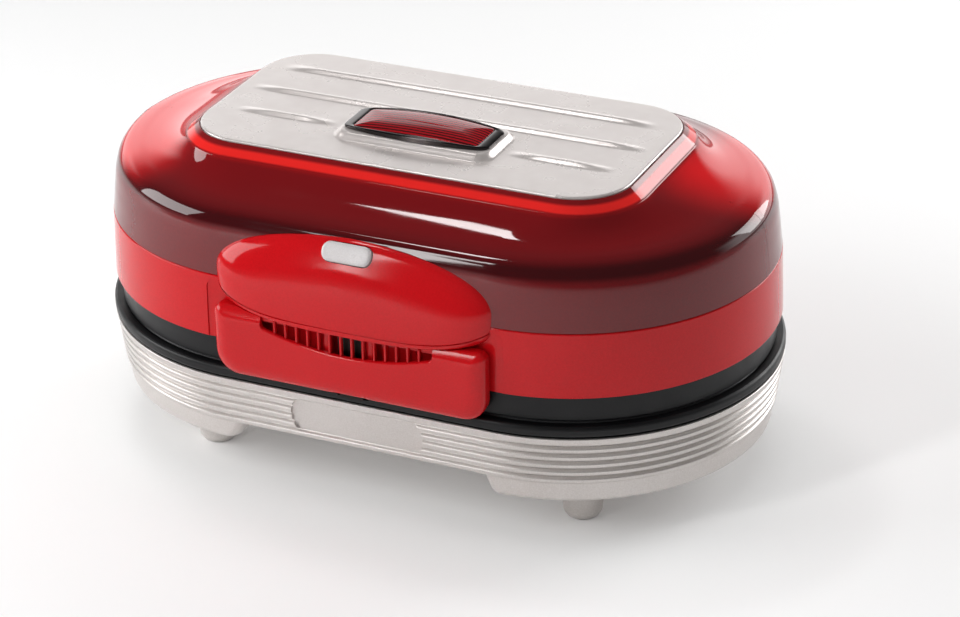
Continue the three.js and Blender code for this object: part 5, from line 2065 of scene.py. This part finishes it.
@dataclass
class Studio:
    """Pale floor, soft lamps and the camera at the photograph's viewing angle."""

    azimuth: float = 24.905
    elevation: float = 26.834
    roll: float = -1.139
    lens: float = 122.25
    aim_right: float = 17.029
    aim_up: float = 1.922
    distance: float = 1598.045
    aim_height: float = 59.2
    floor_half: float = 6.0
    floor_white: str = "#FFFFFF"
    floor_own_light: float = 0.06
    room: float = 0.15
    backdrop: float = 2.3
    backdrop_from: Pair = (0.25, 0.6)
    backdrop_top: Pair = (0.36, 0.5)
    lamps_aim: float = 0.1
    lamps: tuple[Softbox, ...] = (
        Softbox("softbox_left", (-0.85, -0.35, 0.3), (0.85, 0.65), 5.5),
        Softbox("softbox_right", (0.55, 0.75, 0.35), (0.75, 0.55), 5.5),
        Softbox("strip_front", (-0.333, -0.81, 0.482), (0.1, 0.9), 12.0, 1.12),
        Softbox("spot_overhead", (-0.33, 0.2, 0.922), (0.24, 0.12), 16.0, 1.31),
        Softbox("fill_overhead", (0.0, 0.05, 1.0), (1.5, 1.5), 1.4, 1.8, False),
        Softbox("fill_front", (0.15, -0.75, 0.65), (1.6, 1.2), 0.6, 2.0, False),
    )

    def build_camera(self) -> None:
        """Makes the camera."""
        turn, rise, roll = (math.radians(angle) for angle in (self.azimuth, self.elevation, self.roll))
        back = Vector((math.sin(turn) * math.cos(rise), -math.cos(turn) * math.cos(rise), math.sin(rise)))
        level = Vector((math.cos(turn), math.sin(turn), 0))
        upright = back.cross(level)
        place = back * self.distance + level * self.aim_right + upright * self.aim_up
        right = level * math.cos(roll) + upright * math.sin(roll)
        up = upright * math.cos(roll) - level * math.sin(roll)
        matrix = Matrix((right, up, back)).transposed().to_4x4()
        matrix.translation = (place + Vector((0, PLAN_Y, self.aim_height))) * MM
        data = bpy.data.cameras.new("camera")
        data.lens = self.lens
        camera = placed("camera", data)
        camera.matrix_world = matrix
        bpy.context.scene.camera = camera

    def build_lamps(self) -> None:
        """Hangs the lamps."""
        for lamp in self.lamps:
            data = bpy.data.lights.new(lamp.name, "AREA")
            data.shape = "RECTANGLE"
            data.size, data.size_y = lamp.size
            data.energy = lamp.radiance * math.pi * lamp.size[0] * lamp.size[1]
            direction = Vector(lamp.direction).normalized()
            piece = placed(lamp.name, data)
            piece.location = direction * lamp.distance + Vector((0, 0, self.lamps_aim))
            piece.rotation_euler = direction.to_track_quat("Z", "Y").to_euler()
            piece.visible_glossy = lamp.mirrored

    def build_floor(self) -> None:
        """Lays the floor, which shows white to the lens and still keeps the shadow."""
        half = self.floor_half
        mesh = bpy.data.meshes.new("floor")
        mesh.from_pydata([(x * half, y * half, 0) for x, y in QUARTERS], [], [(0, 1, 2, 3)])
        material = bpy.data.materials.new("painted_floor_matte")
        tree = bare_tree(material)
        path = add(tree, "ShaderNodeLightPath")
        seen = path.outputs["Is Camera Ray"]
        for ray in ("Is Glossy Ray", "Is Transmission Ray"):
            brighter = add(tree, "ShaderNodeMath", {0: seen, 1: path.outputs[ray]}, operation="MAXIMUM")
            seen = brighter.outputs[0]
        share = add(tree, "ShaderNodeMath", {0: seen, 1: self.floor_own_light}, operation="MULTIPLY")
        matte = add(tree, "ShaderNodeBsdfDiffuse", {"Color": linear(self.floor_white)})
        white = add(tree, "ShaderNodeEmission", {"Color": linear(self.floor_white), "Strength": 1.0})
        mix = add(tree, "ShaderNodeMixShader", {
            0: share.outputs[0], 1: matte.outputs[0], 2: white.outputs[0],
        })
        add(tree, "ShaderNodeOutputMaterial", {"Surface": mix.outputs[0]})
        mesh.materials.append(material)
        floor = placed("floor", mesh)

    def build_world(self) -> None:
        """Lights the room: a bright backdrop low behind the grill, and dim elsewhere."""
        world = bpy.data.worlds.new("studio")
        tree = bare_tree(world)
        where = add(tree, "ShaderNodeTexCoord")
        parts = add(tree, "ShaderNodeSeparateXYZ", {"Vector": where.outputs["Generated"]})
        level = self.room
        for axis, (start, finish), beyond in (
            ("Y", self.backdrop_from, self.backdrop), ("Z", self.backdrop_top, self.room),
        ):
            level = add(tree, "ShaderNodeMapRange", {
                "Value": parts.outputs[axis], "From Min": start, "From Max": finish,
                "To Min": level, "To Max": beyond,
            }, interpolation_type="SMOOTHSTEP").outputs["Result"]
        light = add(tree, "ShaderNodeBackground", {"Strength": level})
        add(tree, "ShaderNodeOutputWorld", {"Surface": light.outputs[0]})
        bpy.context.scene.world = world

    def build(self) -> None:
        """Sets up the whole studio."""
        bpy.context.scene.view_settings.view_transform = "Standard"
        self.build_camera()
        self.build_lamps()
        self.build_floor()
        self.build_world()


def main() -> None:
    """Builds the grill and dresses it."""
    logging.basicConfig(level=logging.INFO, format="%(name)s: %(message)s")
    Studio().build()
    housing, hinge = Housing(), Hinge()
    housing.build()
    Feet().build()
    hinge.build()
    Collar().build(housing, hinge)
    CookingPlates().build()
    CableGland().build(housing)
    wall, band, dome, plate = LidShell(), RedBand(), Dome(), TopPlate()
    wall.build(hinge)
    band.build(wall)
    dome.build()
    plate.build(dome)
    Badge(plate.badge_y).build()
    clam, latch = Clam(), Latch()
    button = PushButton(clam)
    HandleHousing(clam, latch).build(wall)
    clam.build(button.hole(), dome, band)
    button.build()
    latch.build()


if __name__ == "__main__":
    main()
